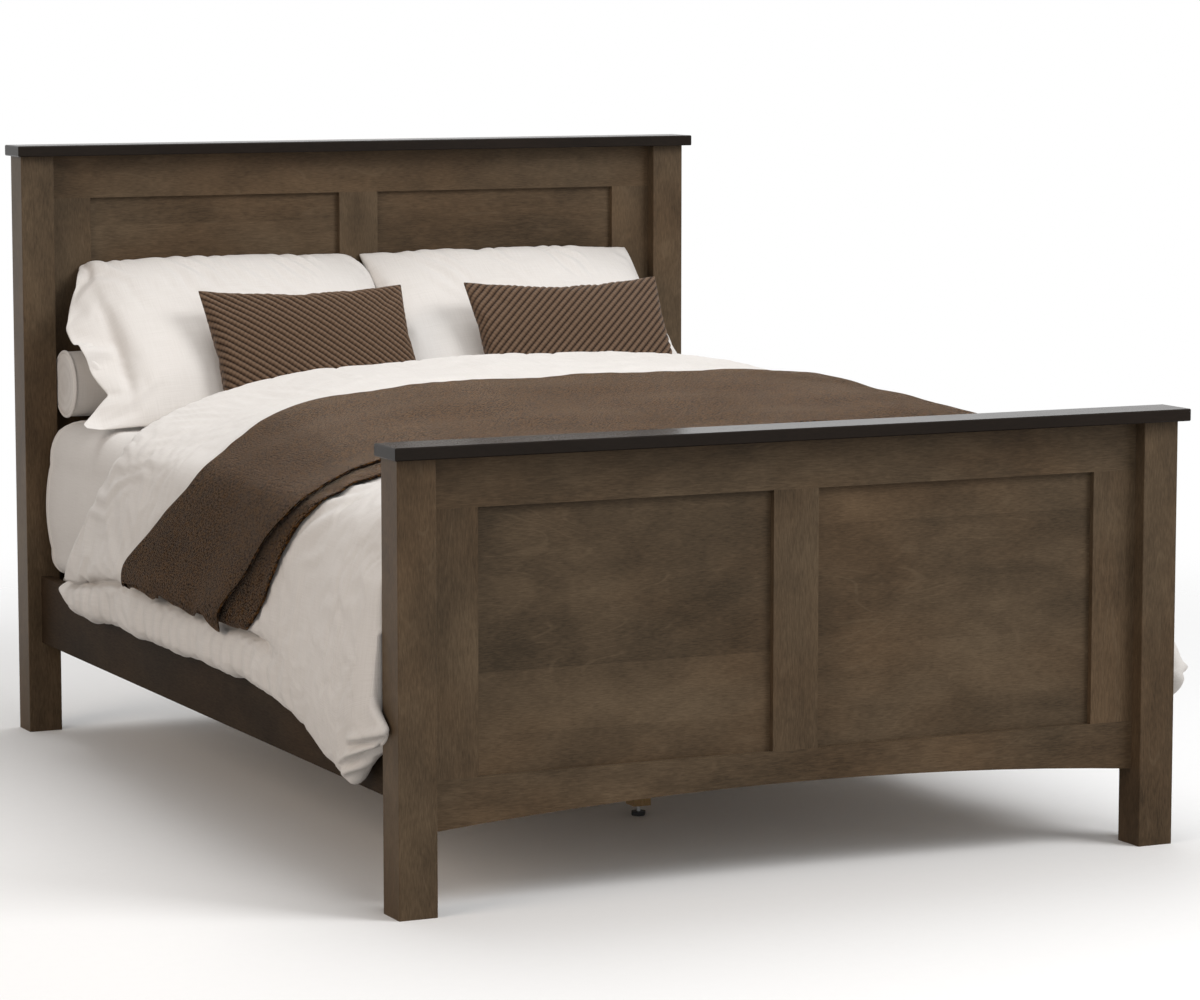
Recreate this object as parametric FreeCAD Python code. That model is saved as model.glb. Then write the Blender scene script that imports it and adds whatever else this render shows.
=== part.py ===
"""Queen-size mission bed: frame-and-panel head and foot, hooked side rails, slats, legs and bedding.

Millimetres. +Z is up, +Y runs from the foot to the head, and the origin is on the floor at the middle.
"""
import FreeCAD
import Part
import math
import os

from FreeCAD import Placement, Rotation, Vector

# Posts and caps
bed_width = 1651.0
rail_length = 2101.85
post_side = 76.2
head_post_height = 1305.0
foot_post_height = 841.0
post_round = 2.0
cap_thickness = 24.0
cap_side_overhang = 13.5
cap_front_overhang = 25.4
cap_bevel = 2.0

# Frame and panel members of the head and foot
frame_setback = 31.75
frame_thickness = 25.4
stile_width = 95.25
top_rail_width = 97.0
head_bottom_rail_width = 95.25
head_bottom_rail_height = 254.0
arched_rail_top = 247.0
arched_rail_end = 151.0
arch_rise = 34.0
panel_recess = 12.7
panel_thickness = 6.35
groove_depth = 9.5
panel_play = 1.0
tenon_length = 38.1
tenon_thickness = 12.7
tenon_shoulder = 12.7
tenon_end_gap = 1.5
joint_clearance = 0.15

# Dowels that hold the caps
dowel_radius = 4.75
dowel_length = 40.0
dowel_in_cap = 14.0
dowel_clearance = 0.1
post_dowel_inset = 20.0

# Side rails and their cleats
side_rail_thickness = 25.4
side_rail_height = 152.4
side_rail_bottom = 203.2
side_rail_inset = 31.75
rail_round = 1.5
cleat_width = 25.4
cleat_height = 38.1
cleat_end_gap = 76.2

# Bed-rail hook and keeper plates
plate_width = 16.0
plate_height = 127.0
plate_thickness = 2.5
hook_thickness = 3.0
hook_reach = 9.5
hook_drop = 10.0
hook_neck = 10.0
hook_spacing = 52.0
hook_play = 0.3
plate_screw_margin = 9.5

# Screws
screw_head_radius = 3.9
screw_shank_radius = 2.0
screw_head_height = 1.9
screw_sides = 8
round_sides = 12
screw_clearance = 0.1
plate_screw_length = 22.0
cleat_screw_length = 40.0
cleat_screw_count = 4
slat_screw_length = 38.0
leg_screw_length = 64.0

# Slats, support legs and levelling feet
slat_count = 5
slat_width = 88.9
slat_thickness = 19.05
slat_end_gap = 3.0
slat_margin = 220.0
leg_side = 38.1
leg_lift = 22.0
insert_radius = 6.0
insert_length = 20.0
stud_radius = 4.0
stud_length = 40.0
stud_in_pad = 6.0
thread_clearance = 0.06
pad_radius = 16.0
pad_height = 9.0
pad_bevel = 2.0
pad_sides = 6
foot_travel = 12.0

# Mattress and foundation
soft_clearance = 0.3
foundation_gap = 6.35
foundation_height = 101.6
foundation_corner = 30.0
mattress_height = 355.6
mattress_overhang = 17.0
mattress_bulge = 14.0
mattress_edge_radius = 95.0
mattress_end_radius = 60.0
mattress_end_bulge = 6.0
mattress_corner = 70.0
mattress_foot_gap = 57.0
mattress_head_gap = 13.0

# Duvet: loft over the mattress, then the fall of its sides
duvet_loft = 143.0
duvet_shoulder_inset = 240.0
duvet_shoulder_drop = 62.0
duvet_shoulder_sag = 55.0
duvet_side_drop = 108.0
duvet_side_thickness = 34.0
duvet_post_gap = 3.0
duvet_crease_rise = 14.0
duvet_crease_depth = 10.0
duvet_roll_height = 70.0
duvet_roll_bulge = 7.0
duvet_hem_inset = 22.0
duvet_corner = 60.0
duvet_folds = 5
duvet_fold_depth = 8.0
duvet_foot_drop = 46.0
duvet_hem_fall = 60.0
duvet_head_fall = 20.0
duvet_tip_fall = 142.0
duvet_hem_wave = 16.0
duvet_foot_hem_rise = 60.0
duvet_cuff_gap = 12.0
duvet_cuff_margin = 80.0
duvet_end_slope = 0.5

# Throw, folded double across the duvet
throw_thickness = 16.0
throw_width = 745.0
throw_foot_offset = 512.0
throw_hem_rise = 75.0
throw_slant = 0.2
throw_gap = 0.6

# Pillows, bolster and lumbar cushions
pillow_width = 660.0
pillow_height = 527.0
pillow_thickness = 146.0
pillow_spacing = 10.0
pillow_lean = 49.5
cushion_seam = 6.0
cushion_draw_in = 16.0
cushion_fullness = 1.3
cushion_trim = 1.0
bolster_diameter = 152.4
bolster_end_gap = 2.5
bolster_piping = 4.0
lumbar_width = 495.0
lumbar_height = 345.0
lumbar_thickness = 95.0
lumbar_lean = 33.0
lumbar_left_shift = 74.0
lumbar_right_shift = 46.0

# Places worked out from the sizes above
overall_length = cap_front_overhang + 2 * post_side + rail_length
half_width = bed_width / 2
post_inner_x = half_width - post_side
foot_front_y = cap_front_overhang - overall_length / 2
foot_back_y = foot_front_y + post_side
head_front_y = foot_back_y + rail_length
head_frame_y = head_front_y + frame_setback

rail_outer_x = half_width - side_rail_inset
rail_inner_x = rail_outer_x - side_rail_thickness
rail_mid_x = (rail_outer_x + rail_inner_x) / 2
side_rail_top = side_rail_bottom + side_rail_height
plate_mid_z = side_rail_bottom + side_rail_height / 2
plate_screw_spacing = plate_height - 2 * plate_screw_margin
cleat_top = side_rail_bottom + cleat_height
slat_top = cleat_top + slat_thickness
slat_half_length = rail_inner_x - slat_end_gap
slat_first_y = foot_back_y + slat_margin
slat_pitch = (rail_length - 2 * slat_margin) / (slat_count - 1)

foundation_bottom = slat_top + soft_clearance
mattress_bottom = foundation_bottom + foundation_height + soft_clearance
mattress_top = mattress_bottom + mattress_height
mattress_half = rail_inner_x + mattress_overhang
mattress_foot_y = foot_back_y + mattress_foot_gap
mattress_head_y = head_front_y - mattress_head_gap
drape_x = max(mattress_half + mattress_bulge, rail_outer_x) + soft_clearance

x_axis = Vector(1, 0, 0)
y_axis = Vector(0, 1, 0)
z_axis = Vector(0, 0, 1)


def block(x0, x1, y0, y1, z0, z1):
    """Box between two corners."""
    low = Vector(min(x0, x1), min(y0, y1), min(z0, z1))
    return Part.makeBox(abs(x1 - x0), abs(y1 - y0), abs(z1 - z0), low)


def pointed(shape, base, direction):
    """Shape built along +Z, turned to a direction and moved to a base point."""
    turned = shape.copy()
    turned.Placement = Placement(base, Rotation(z_axis, direction))
    return turned


def edges_along(shape, direction):
    """Straight edges of a shape that run along a direction."""
    found = []
    for edge in shape.Edges:
        run = edge.Vertexes[-1].Point - edge.Vertexes[0].Point
        if run.cross(direction).Length < 1e-6:
            found.append(edge)
    return found


def closed_wire(edges):
    """Closed wire from edges in order."""
    return Part.Wire([edge.toShape() for edge in edges])


def line(a, b):
    return Part.LineSegment(a, b)


def arc(a, via, b):
    return Part.Arc(a, via, b)


def faceted(rings, sides):
    """Solid with flat sides through regular polygons, each a (radius, height) ring about Z."""
    turns = [2 * math.pi * i / sides for i in range(sides)]
    loops = []
    for radius, height in rings:
        loops.append([Vector(radius * math.cos(t), radius * math.sin(t), height) for t in turns])
    faces = [Part.Face(Part.makePolygon(loop + loop[:1])) for loop in (loops[0], loops[-1])]
    for lower, upper in zip(loops, loops[1:]):
        for i in range(sides):
            j = (i + 1) % sides
            faces.append(Part.Face(Part.makePolygon([lower[i], lower[j], upper[j], upper[i], lower[i]])))
    solid = Part.Solid(Part.Shell(faces))
    if solid.Volume < 0:
        solid.reverse()
    return solid


def run_of(edges, direction):
    """Outline of edges in order, run along a direction into a solid."""
    return Part.Face(closed_wire(edges)).extrude(direction)


def save(name, *solids):
    """Writes one node, of one solid or of a group of separate solids."""
    shape = solids[0] if len(solids) == 1 else Part.makeCompound(list(solids))
    shape.exportStep(os.path.join("parts", name + ".step"))


def screw(length, grow=0.0):
    """Countersunk wood screw with its head at the origin and its shank along +Z; grow gives its hole."""
    head = screw_head_radius + grow
    shank = screw_shank_radius + grow
    rings = [(head, -grow), (head, 0.0)] if grow else [(head, 0.0)]
    return faceted(rings + [(shank, screw_head_height), (shank, length + grow)], screw_sides)


def dowel(grow=0.0):
    """Fluted cap dowel standing on the joint plane: part in the cap above it, the rest below."""
    radius = dowel_radius + grow
    return faceted([(radius, dowel_in_cap - dowel_length - grow), (radius, dowel_in_cap + grow)], round_sides)


def cap_dowel_places(front_y):
    """Where a cap is dowelled: once over each post and three times along the top rail."""
    post_x = half_width - post_dowel_inset
    post_y = front_y + post_dowel_inset
    rail_y = front_y + frame_setback + frame_thickness / 2
    places = [(-post_x, post_y), (post_x, post_y)]
    places += [(x, rail_y) for x in (-post_inner_x / 2, 0, post_inner_x / 2)]
    return places


def cap_dowels(front_y, height, grow=0.0):
    return [dowel(grow).translated(Vector(x, y, height)) for x, y in cap_dowel_places(front_y)]


def post(side, front_y, height, rails, plate_y, plate_direction):
    """Square post with eased edges, mortised for its rails and recessed for its keeper plate."""
    x0 = side * half_width
    x1 = side * post_inner_x
    solid = block(x0, x1, front_y, front_y + post_side, 0, height)
    solid = solid.makeFillet(post_round, edges_along(solid, z_axis))
    cuts = [mortise(side, front_y + frame_setback, low, high) for low, high in rails]
    cuts += cap_dowels(front_y, height, dowel_clearance)
    cuts += keeper_cuts(side * rail_mid_x, plate_y, plate_direction)
    return solid.cut(cuts)


def tenon_box(x0, x1, frame_y, low, high, grow):
    """Tenon of a rail, or with grow the space that it fits."""
    y0 = frame_y + (frame_thickness - tenon_thickness) / 2
    y1 = y0 + tenon_thickness
    z0 = low + tenon_shoulder
    z1 = high - tenon_shoulder
    return block(x0, x1, y0 - grow, y1 + grow, z0 - grow, z1 + grow)


def mortise(side, frame_y, low, high):
    depth = tenon_length + tenon_end_gap
    return tenon_box(side * post_inner_x, side * (post_inner_x + depth), frame_y, low, high, joint_clearance)


def groove_box(x0, x1, frame_y, z0, z1, grow=joint_clearance):
    """Slot for the panels, set back from the frame's face; without grow it is a panel or stub tenon."""
    y0 = frame_y + panel_recess
    return block(x0, x1, y0 - grow, y0 + panel_thickness + grow, z0, z1)


def frame_rail(frame_y, low, high, grooves, rise=0.0):
    """Cross rail tenoned into both posts, grooved for panels; rise arches its lower edge."""
    end = post_inner_x
    corners = [Vector(x, frame_y, z) for x, z in ((-end, low), (end, low), (end, high), (-end, high))]
    lower = line(corners[0], corners[1])
    if rise:
        lower = arc(corners[0], Vector(0, frame_y, low + rise), corners[1])
    outline = [lower]
    for i in (1, 2, 3):
        outline.append(line(corners[i], corners[(i + 1) % 4]))
    body = run_of(outline, Vector(0, frame_thickness, 0))
    for side in (-1, 1):
        body = body.fuse(tenon_box(side * end, side * (end + tenon_length), frame_y, low, high, 0.0))
    cuts = [groove_box(-end, end, frame_y, z, z + step) for z, step in grooves]
    return body.removeSplitter().cut(cuts)


def stile(x0, x1, frame_y, low, high, grooved_edges):
    """Upright between two rails, with a stub tenon at each end in the rails' grooves."""
    stub = groove_depth - panel_play
    body = block(x0, x1, frame_y, frame_y + frame_thickness, low, high)
    body = body.fuse(groove_box(x0, x1, frame_y, low - stub, high + stub, 0.0))
    cuts = [groove_box(x, x + step, frame_y, low - stub, high + stub) for x, step in grooved_edges]
    return body.cut(cuts) if cuts else body


def panel(x0, x1, frame_y, low, high):
    """Flat panel floating in the grooves round it."""
    edge = groove_depth - panel_play
    return groove_box(x0 - edge, x1 + edge, frame_y, low - edge, high + edge, 0.0)


def framed_end(name, frame_y, low, high):
    """Stiles and panels between the two rails of the head or the foot."""
    outer = post_inner_x
    inner = post_inner_x - stile_width
    middle = stile_width / 2
    save(name + "_left_stile", stile(-outer, -inner, frame_y, low, high, [(-inner, -groove_depth)]))
    save(name + "_right_stile", stile(inner, outer, frame_y, low, high, [(inner, groove_depth)]))
    both = [(-middle, groove_depth), (middle, -groove_depth)]
    save(name + "_mid_stile", stile(-middle, middle, frame_y, low, high, both))
    save(name + "_left_panel", panel(-inner, -middle, frame_y, low, high))
    save(name + "_right_panel", panel(middle, inner, frame_y, low, high))


def cap(front_y, height):
    """Flat board over posts and top rail, proud at the front and the ends and flush at the back."""
    x = half_width + cap_side_overhang
    board = block(-x, x, front_y - cap_front_overhang, front_y + post_side, height, height + cap_thickness)
    board = board.makeChamfer(cap_bevel, board.Edges)
    return board.cut(cap_dowels(front_y, height, dowel_clearance))


def build_end(name, front_y, height, bottom_rail, bottom_name, rise, plate_y, plate_direction):
    """One end of the bed: posts, rails, stiles, panels, cap and dowels."""
    frame_y = front_y + frame_setback
    top_rail = (height - top_rail_width, height)
    low = bottom_rail[1]
    high = top_rail[0]
    for side, word in ((-1, "left"), (1, "right")):
        rails = (bottom_rail, top_rail)
        save(f"{name}_post_{word}", post(side, front_y, height, rails, plate_y, plate_direction))
    upper = frame_rail(frame_y, *top_rail, [(high, groove_depth)])
    save(name + "_top_rail", upper.cut(cap_dowels(front_y, height, dowel_clearance)))
    save(name + bottom_name, frame_rail(frame_y, *bottom_rail, [(low, -groove_depth)], rise))
    framed_end(name, frame_y, low, high)
    save(name + "_cap", cap(front_y, height))
    save(name + "_cap_dowels", *cap_dowels(front_y, height))


def plate_box(x, y, direction, depth, grow):
    """Plate, or with grow its recess, from a joint plane to a depth in a direction along Y."""
    half = plate_width / 2 + grow
    tall = plate_height / 2 + grow
    return block(x - half, x + half, y, y + direction * depth, plate_mid_z - tall, plate_mid_z + tall)


def plate_screws(x, y, direction, grow=0.0):
    """The two screws of a plate, driven from the joint plane."""
    places = [plate_mid_z - plate_screw_spacing / 2, plate_mid_z + plate_screw_spacing / 2]
    return [pointed(screw(plate_screw_length, grow), Vector(x, y, z), y_axis * direction) for z in places]


def hook_heights():
    """Lower edges of the hooks' necks."""
    return [plate_mid_z - hook_spacing / 2, plate_mid_z + hook_spacing / 2]


def keeper_cuts(x, y, direction):
    """What a post loses for its keeper plate: the recess, the pocket behind the slots and the screw holes."""
    low, high = hook_heights()
    half = hook_thickness / 2 + 2 * hook_play
    reach = y + direction * (hook_reach + tenon_end_gap)
    pocket_low = low - hook_drop - tenon_end_gap
    pocket_high = high + hook_neck + hook_drop + tenon_end_gap
    pocket = block(x - half, x + half, y, reach, pocket_low, pocket_high)
    recess = plate_box(x, y, direction, plate_thickness, joint_clearance)
    return [recess, pocket] + plate_screws(x, y, direction, screw_clearance)


def keeper_plate(x, y, direction):
    """Flush steel plate in a post, with two slots for the hooks."""
    half = hook_thickness / 2 + hook_play
    slots = []
    for low in hook_heights():
        high = low + hook_neck + hook_drop + hook_play
        slots.append(block(x - half, x + half, y, y + direction * plate_thickness, low, high))
    plate = plate_box(x, y, direction, plate_thickness, 0.0)
    return plate.cut(slots + plate_screws(x, y, direction, screw_clearance))


def hook_plate(x, y, direction):
    """Flush steel plate in a rail end, with two hooks that reach through the keeper and drop behind it."""
    solid = plate_box(x, y, -direction, plate_thickness, 0.0)
    half = hook_thickness / 2
    reach = y + direction * hook_reach
    behind = y + direction * (plate_thickness + hook_play)
    for low in hook_heights():
        neck = block(x - half, x + half, y, reach, low, low + hook_neck)
        lip = block(x - half, x + half, behind, reach, low - hook_drop, low + hook_neck)
        solid = solid.fuse([neck, lip])
    return solid.removeSplitter().cut(plate_screws(x, y, -direction, screw_clearance))


def cleat_screws(side, grow=0.0):
    """Screws through a cleat into its rail, evenly spaced along it."""
    start = foot_back_y + cleat_end_gap
    pitch = (rail_length - 2 * cleat_end_gap) / cleat_screw_count
    x = side * (rail_inner_x - cleat_width)
    z = side_rail_bottom + cleat_height / 3
    places = [Vector(x, start + pitch * (i + 0.5), z) for i in range(cleat_screw_count)]
    return [pointed(screw(cleat_screw_length, grow), place, x_axis * side) for place in places]


def side_rail(side):
    """Plain board between the posts, recessed at both ends for its hook plates."""
    board = block(
        side * rail_inner_x, side * rail_outer_x, foot_back_y, head_front_y, side_rail_bottom, side_rail_top
    )
    board = board.makeFillet(rail_round, edges_along(board, y_axis))
    cuts = cleat_screws(side, screw_clearance)
    for y, direction in ((foot_back_y, -1), (head_front_y, 1)):
        x = side * rail_mid_x
        cuts.append(plate_box(x, y, -direction, plate_thickness, joint_clearance))
        cuts += plate_screws(x, y, -direction, screw_clearance)
    return board.cut(cuts)


def slat_places():
    return [slat_first_y + slat_pitch * i for i in range(slat_count)]


def leg_places():
    """The slats between the first and the last have a leg."""
    return slat_places()[1:-1]


def slat_screws(y, grow=0.0):
    """One screw through each end of a slat into the cleats."""
    x = rail_inner_x - cleat_width / 2
    return [pointed(screw(slat_screw_length, grow), Vector(s * x, y, slat_top), -z_axis) for s in (-1, 1)]


def leg_screw(y, grow=0.0):
    return pointed(screw(leg_screw_length, grow), Vector(0, y, slat_top), -z_axis)


def cleat(side):
    """Strip screwed inside a side rail, that the slats lie on."""
    y0 = foot_back_y + cleat_end_gap
    y1 = head_front_y - cleat_end_gap
    x0 = side * (rail_inner_x - cleat_width)
    strip = block(x0, side * rail_inner_x, y0, y1, side_rail_bottom, cleat_top)
    cuts = cleat_screws(side, screw_clearance)
    for y in slat_places():
        cuts += slat_screws(y, screw_clearance)
    return strip.cut(cuts)


def slat(y, with_leg):
    half = slat_width / 2
    board = block(-slat_half_length, slat_half_length, y - half, y + half, cleat_top, slat_top)
    cuts = slat_screws(y, screw_clearance)
    if with_leg:
        cuts.append(leg_screw(y, screw_clearance))
    return board.cut(cuts)


def bar(radius, y, low, high):
    """Upright bar on the bed's middle line, or its bore."""
    return faceted([(radius, low), (radius, high)], round_sides).translated(Vector(0, y, 0))


def support_leg(y):
    """Square leg under a slat, bored from below for its insert and for the stud's travel."""
    half = leg_side / 2
    leg = block(-half, half, y - half, y + half, leg_lift, cleat_top)
    stud_top = pad_height - stud_in_pad + stud_length + foot_travel + tenon_end_gap
    bore = bar(insert_radius + thread_clearance, y, leg_lift, leg_lift + insert_length)
    way = bar(stud_radius + thread_clearance, y, leg_lift, stud_top)
    return leg.cut([bore, way, leg_screw(y, screw_clearance)])


def leg_insert(y):
    """Threaded insert in a leg, drawn with a plain bore."""
    top = leg_lift + insert_length
    shell = bar(insert_radius, y, leg_lift, top)
    return shell.cut(bar(stud_radius + thread_clearance, y, leg_lift, top))


def leveller_stud(y):
    bottom = pad_height - stud_in_pad
    return bar(stud_radius, y, bottom, bottom + stud_length)


def leveller_pad(y):
    """Six-sided nylon pad with a bevelled lower edge, bored for its stud."""
    rings = [(pad_radius - pad_bevel, 0.0), (pad_radius, pad_bevel), (pad_radius, pad_height)]
    pad = faceted(rings, pad_sides).translated(Vector(0, y, 0))
    return pad.cut(bar(stud_radius + thread_clearance, y, pad_height - stud_in_pad, pad_height))


def foundation():
    """Low box foundation between the side rails, on the slats."""
    x = rail_inner_x - foundation_gap
    top = foundation_bottom + foundation_height
    box = block(-x, x, mattress_foot_y, mattress_head_y, foundation_bottom, top)
    return box.makeFillet(foundation_corner, edges_along(box, z_axis))


def cushion_profile(half, bulge, radius, low, high, place):
    """Upright section of the mattress: drawn-in foot, bulging sides and round upper edges.

    place turns (across, height) into a point, so that the same outline serves both directions.
    """
    turn = high - radius
    bend = radius * math.sqrt(0.5)
    flat = half - radius
    edges = []
    edges.append(line(place(-half, low), place(half, low)))
    edges.append(arc(place(half, low), place(half + bulge, (low + turn) / 2), place(half, turn)))
    edges.append(arc(place(half, turn), place(flat + bend, turn + bend), place(flat, high)))
    edges.append(line(place(flat, high), place(-flat, high)))
    edges.append(arc(place(-flat, high), place(-flat - bend, turn + bend), place(-half, turn)))
    edges.append(arc(place(-half, turn), place(-half - bulge, (low + turn) / 2), place(-half, low)))
    return Part.Face(closed_wire(edges))


def mattress_run(grow, y0, y1):
    """The mattress's cross section, run from one place to another along the bed."""
    profile = cushion_profile(
        mattress_half + grow,
        mattress_bulge,
        mattress_edge_radius + grow,
        mattress_bottom - grow,
        mattress_top + grow,
        lambda x, z: Vector(x, y0, z),
    )
    return profile.extrude(Vector(0, y1 - y0, 0))


def mattress():
    """Crowned block: the cross section, met by the long section and by a plan with round corners."""
    y_mid = (mattress_foot_y + mattress_head_y) / 2
    half_length = (mattress_head_y - mattress_foot_y) / 2
    reach = mattress_half + mattress_bulge
    long_profile = cushion_profile(
        half_length - mattress_end_bulge,
        mattress_end_bulge,
        mattress_end_radius,
        mattress_bottom,
        mattress_top,
        lambda y, z: Vector(-reach, y_mid + y, z),
    )
    along = long_profile.extrude(Vector(2 * reach, 0, 0))
    side = reach + soft_clearance
    end = half_length + soft_clearance
    plan = block(-side, side, y_mid - end, y_mid + end, mattress_bottom, mattress_top)
    plan = plan.makeFillet(mattress_corner, edges_along(plan, z_axis))
    return mattress_run(0.0, mattress_foot_y, mattress_head_y).common([along]).common([plan])


def duvet_cross(grow):
    """The duvet's cross section: crown, shoulders, sides, and the crease over the rolled hem."""
    reach = overall_length
    crown = mattress_top + duvet_loft
    side = drape_x + duvet_side_thickness
    shoulder_x = drape_x - duvet_shoulder_inset
    shoulder_z = crown - duvet_shoulder_drop
    upper_z = mattress_top - duvet_side_drop
    run = math.hypot(side - shoulder_x, shoulder_z - upper_z)
    out_x = (shoulder_z - upper_z) / run
    out_z = (side - shoulder_x) / run
    sag = duvet_shoulder_sag + grow
    crease = side_rail_top + duvet_crease_rise
    fold = crease - duvet_crease_depth
    hem = side_rail_top - 2 * duvet_roll_height

    def half(s):
        """Points of one side, from the crown's end down to the hem."""
        points = [(shoulder_x + grow * out_x, shoulder_z + grow * out_z)]
        points.append(((shoulder_x + side) / 2 + out_x * sag, (shoulder_z + upper_z) / 2 + out_z * sag))
        points.append((side + grow, upper_z))
        points.append((side + grow, crease))
        points.append((side + grow - duvet_crease_depth, fold))
        points.append((side + grow + duvet_roll_bulge, fold - duvet_roll_height / 2))
        points.append((side + grow - duvet_hem_inset, hem))
        return [Vector(s * x, -reach, z) for x, z in points]

    right = half(1)
    left = half(-1)
    edges = [arc(left[0], Vector(0, -reach, crown + grow), right[0])]
    edges.append(arc(right[0], right[1], right[2]))
    edges.append(line(right[2], right[3]))
    edges.append(line(right[3], right[4]))
    edges.append(arc(right[4], right[5], right[6]))
    edges.append(line(right[6], left[6]))
    edges.append(arc(left[6], left[5], left[4]))
    edges.append(line(left[4], left[3]))
    edges.append(line(left[3], left[2]))
    edges.append(arc(left[2], left[1], left[0]))
    return run_of(edges, Vector(0, 2 * reach, 0))


def duvet_plan(grow):
    """The duvet seen from above: round foot corners and shallow upright folds down each side."""
    foot = foot_back_y + duvet_post_gap
    x = drape_x + duvet_side_thickness + grow
    valley = x - duvet_fold_depth / 2
    ridge = x + duvet_fold_depth / 2
    bend = duvet_corner * (1 - math.sqrt(0.5))
    start = foot + duvet_corner
    pitch = (mattress_head_y - start) / duvet_folds
    edges = [line(Vector(-valley + duvet_corner, foot, 0), Vector(valley - duvet_corner, foot, 0))]
    corner = Vector(valley - bend, foot + bend, 0)
    edges.append(arc(edges[0].EndPoint, corner, Vector(valley, start, 0)))
    for i in range(duvet_folds):
        middle = Vector(ridge, start + pitch * (i + 0.5), 0)
        edges.append(arc(edges[-1].EndPoint, middle, Vector(valley, start + pitch * (i + 1), 0)))
    edges.append(line(edges[-1].EndPoint, Vector(-valley, mattress_head_y, 0)))
    for i in reversed(range(duvet_folds)):
        middle = Vector(-ridge, start + pitch * (i + 0.5), 0)
        edges.append(arc(edges[-1].EndPoint, middle, Vector(-valley, start + pitch * i, 0)))
    corner = Vector(-valley + bend, foot + bend, 0)
    edges.append(arc(edges[-1].EndPoint, corner, edges[0].StartPoint))
    return run_of(edges, Vector(0, 0, head_post_height))


def duvet_side(grow):
    """The duvet seen from the side: top that falls to the foot, slanting head end, and the hem's fall."""
    x = -overall_length
    foot = foot_back_y + duvet_post_gap
    length = mattress_head_y - mattress_foot_y
    crown = mattress_top + duvet_loft + grow
    end = cuff_y + duvet_cuff_margin / 2

    def top(share, drop):
        return Vector(x, mattress_foot_y + share * length, crown - drop)

    def hem(share, fall):
        return Vector(x, mattress_foot_y + share * length, side_rail_top - fall)

    foot_low = Vector(x, foot, side_rail_top - duvet_hem_fall)
    foot_high = Vector(x, foot, crown - 2 * duvet_foot_drop)
    top_foot = top(0.03, duvet_foot_drop)
    top_head = Vector(x, end, crown)
    head_low = Vector(x, end, side_rail_top - duvet_head_fall)
    head_low.y += duvet_end_slope * (top_head.z - head_low.z)
    hem_head = hem(0.66, duvet_hem_fall)
    hem_mid = hem(0.28, duvet_hem_fall)
    tip_head = hem(0.11, duvet_tip_fall - duvet_hem_wave / 4)
    tip_foot = hem(0.03, duvet_tip_fall - duvet_hem_wave)
    edges = [line(foot_low, foot_high)]
    edges.append(arc(foot_high, top(-0.012, 1.35 * duvet_foot_drop), top_foot))
    edges.append(arc(top_foot, top(0.35, 0.25 * duvet_foot_drop), top_head))
    edges.append(line(top_head, head_low))
    edges.append(arc(head_low, hem(0.80, duvet_hem_fall - duvet_hem_wave / 2), hem_head))
    edges.append(arc(hem_head, hem(0.47, duvet_hem_fall + duvet_hem_wave), hem_mid))
    edges.append(arc(hem_mid, hem(0.18, duvet_hem_fall + 1.6 * duvet_hem_wave), tip_head))
    edges.append(arc(tip_head, hem(0.07, duvet_tip_fall), tip_foot))
    edges.append(line(tip_foot, foot_low))
    return run_of(edges, Vector(2 * overall_length, 0, 0))


def duvet_envelope(grow):
    """Outer form of the duvet: what its three outlines share; grow moves it outward for what lies on it."""
    return duvet_cross(grow).common(duvet_plan(grow)).common(duvet_side(grow))


def duvet(envelope):
    """Duvet: its outer form, hollowed by the mattress and cut back to a straight cuff at the head."""
    far = overall_length
    inner_foot = mattress_foot_y - soft_clearance
    inside = mattress_run(soft_clearance, inner_foot, inner_foot + far)
    under_top = mattress_bottom + duvet_foot_hem_rise
    under = block(-drape_x, drape_x, -far, far, 0, under_top)
    cuff_x = mattress_half - mattress_edge_radius
    cuff = block(-cuff_x, cuff_x, cuff_y, far, mattress_top - mattress_edge_radius, head_post_height)
    return envelope.cut([inside, under, cuff])


def throw_blanket():
    """Throw laid across the duvet and hanging at both sides, its ends slanting a little headward."""
    layer = duvet_envelope(throw_gap + throw_thickness).cut(duvet_envelope(throw_gap))
    low = side_rail_top + throw_hem_rise
    high = mattress_top + 2 * duvet_loft
    crown = mattress_top + duvet_loft
    reach = half_width + bed_width
    y0 = mattress_foot_y + throw_foot_offset

    def corner(y, z):
        return Vector(-reach, y + throw_slant * (crown - z), z)

    y1 = y0 + throw_width
    corners = [corner(y0, low), corner(y1, low), corner(y1, high), corner(y0, high)]
    band = Part.Face(Part.makePolygon(corners + corners[:1])).extrude(Vector(2 * reach, 0, 0))
    return layer.common(band)


def lens(half, thickness, place):
    """Section of a cushion: two bowed faces that meet at a seam; place turns (across, depth) into a point."""
    seam = cushion_seam / 2
    bow = thickness / 2
    edges = [arc(place(-half, -seam), place(0, -bow), place(half, -seam))]
    edges.append(line(place(half, -seam), place(half, seam)))
    edges.append(arc(place(half, seam), place(0, bow), place(-half, seam)))
    edges.append(line(place(-half, seam), place(-half, -seam)))
    return edges


def cushion(width, height, thickness):
    """Stuffed cushion standing on its lower corners at the origin: crowned faces and drawn-in edges."""
    half = width / 2
    draw = cushion_draw_in
    side = half - cushion_trim
    low = cushion_trim
    high = height - cushion_trim
    bow = cushion_fullness * thickness
    across = run_of(lens(half, bow, lambda x, y: Vector(x, y, 0)), Vector(0, 0, height))
    upright = run_of(
        lens(height / 2, thickness, lambda z, y: Vector(-half, y, height / 2 + z)), Vector(width, 0, 0)
    )
    corners = [Vector(x, -thickness, z) for x, z in ((-side, low), (side, low), (side, high), (-side, high))]
    inner = [(0, draw), (half - draw, height / 2), (0, height - draw), (draw - half, height / 2)]
    edges = []
    for i, (x, z) in enumerate(inner):
        edges.append(arc(corners[i], Vector(x, -thickness, z), corners[(i + 1) % 4]))
    outline = run_of(edges, Vector(0, 2 * thickness, 0))
    return across.common(upright).common(outline)


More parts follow.
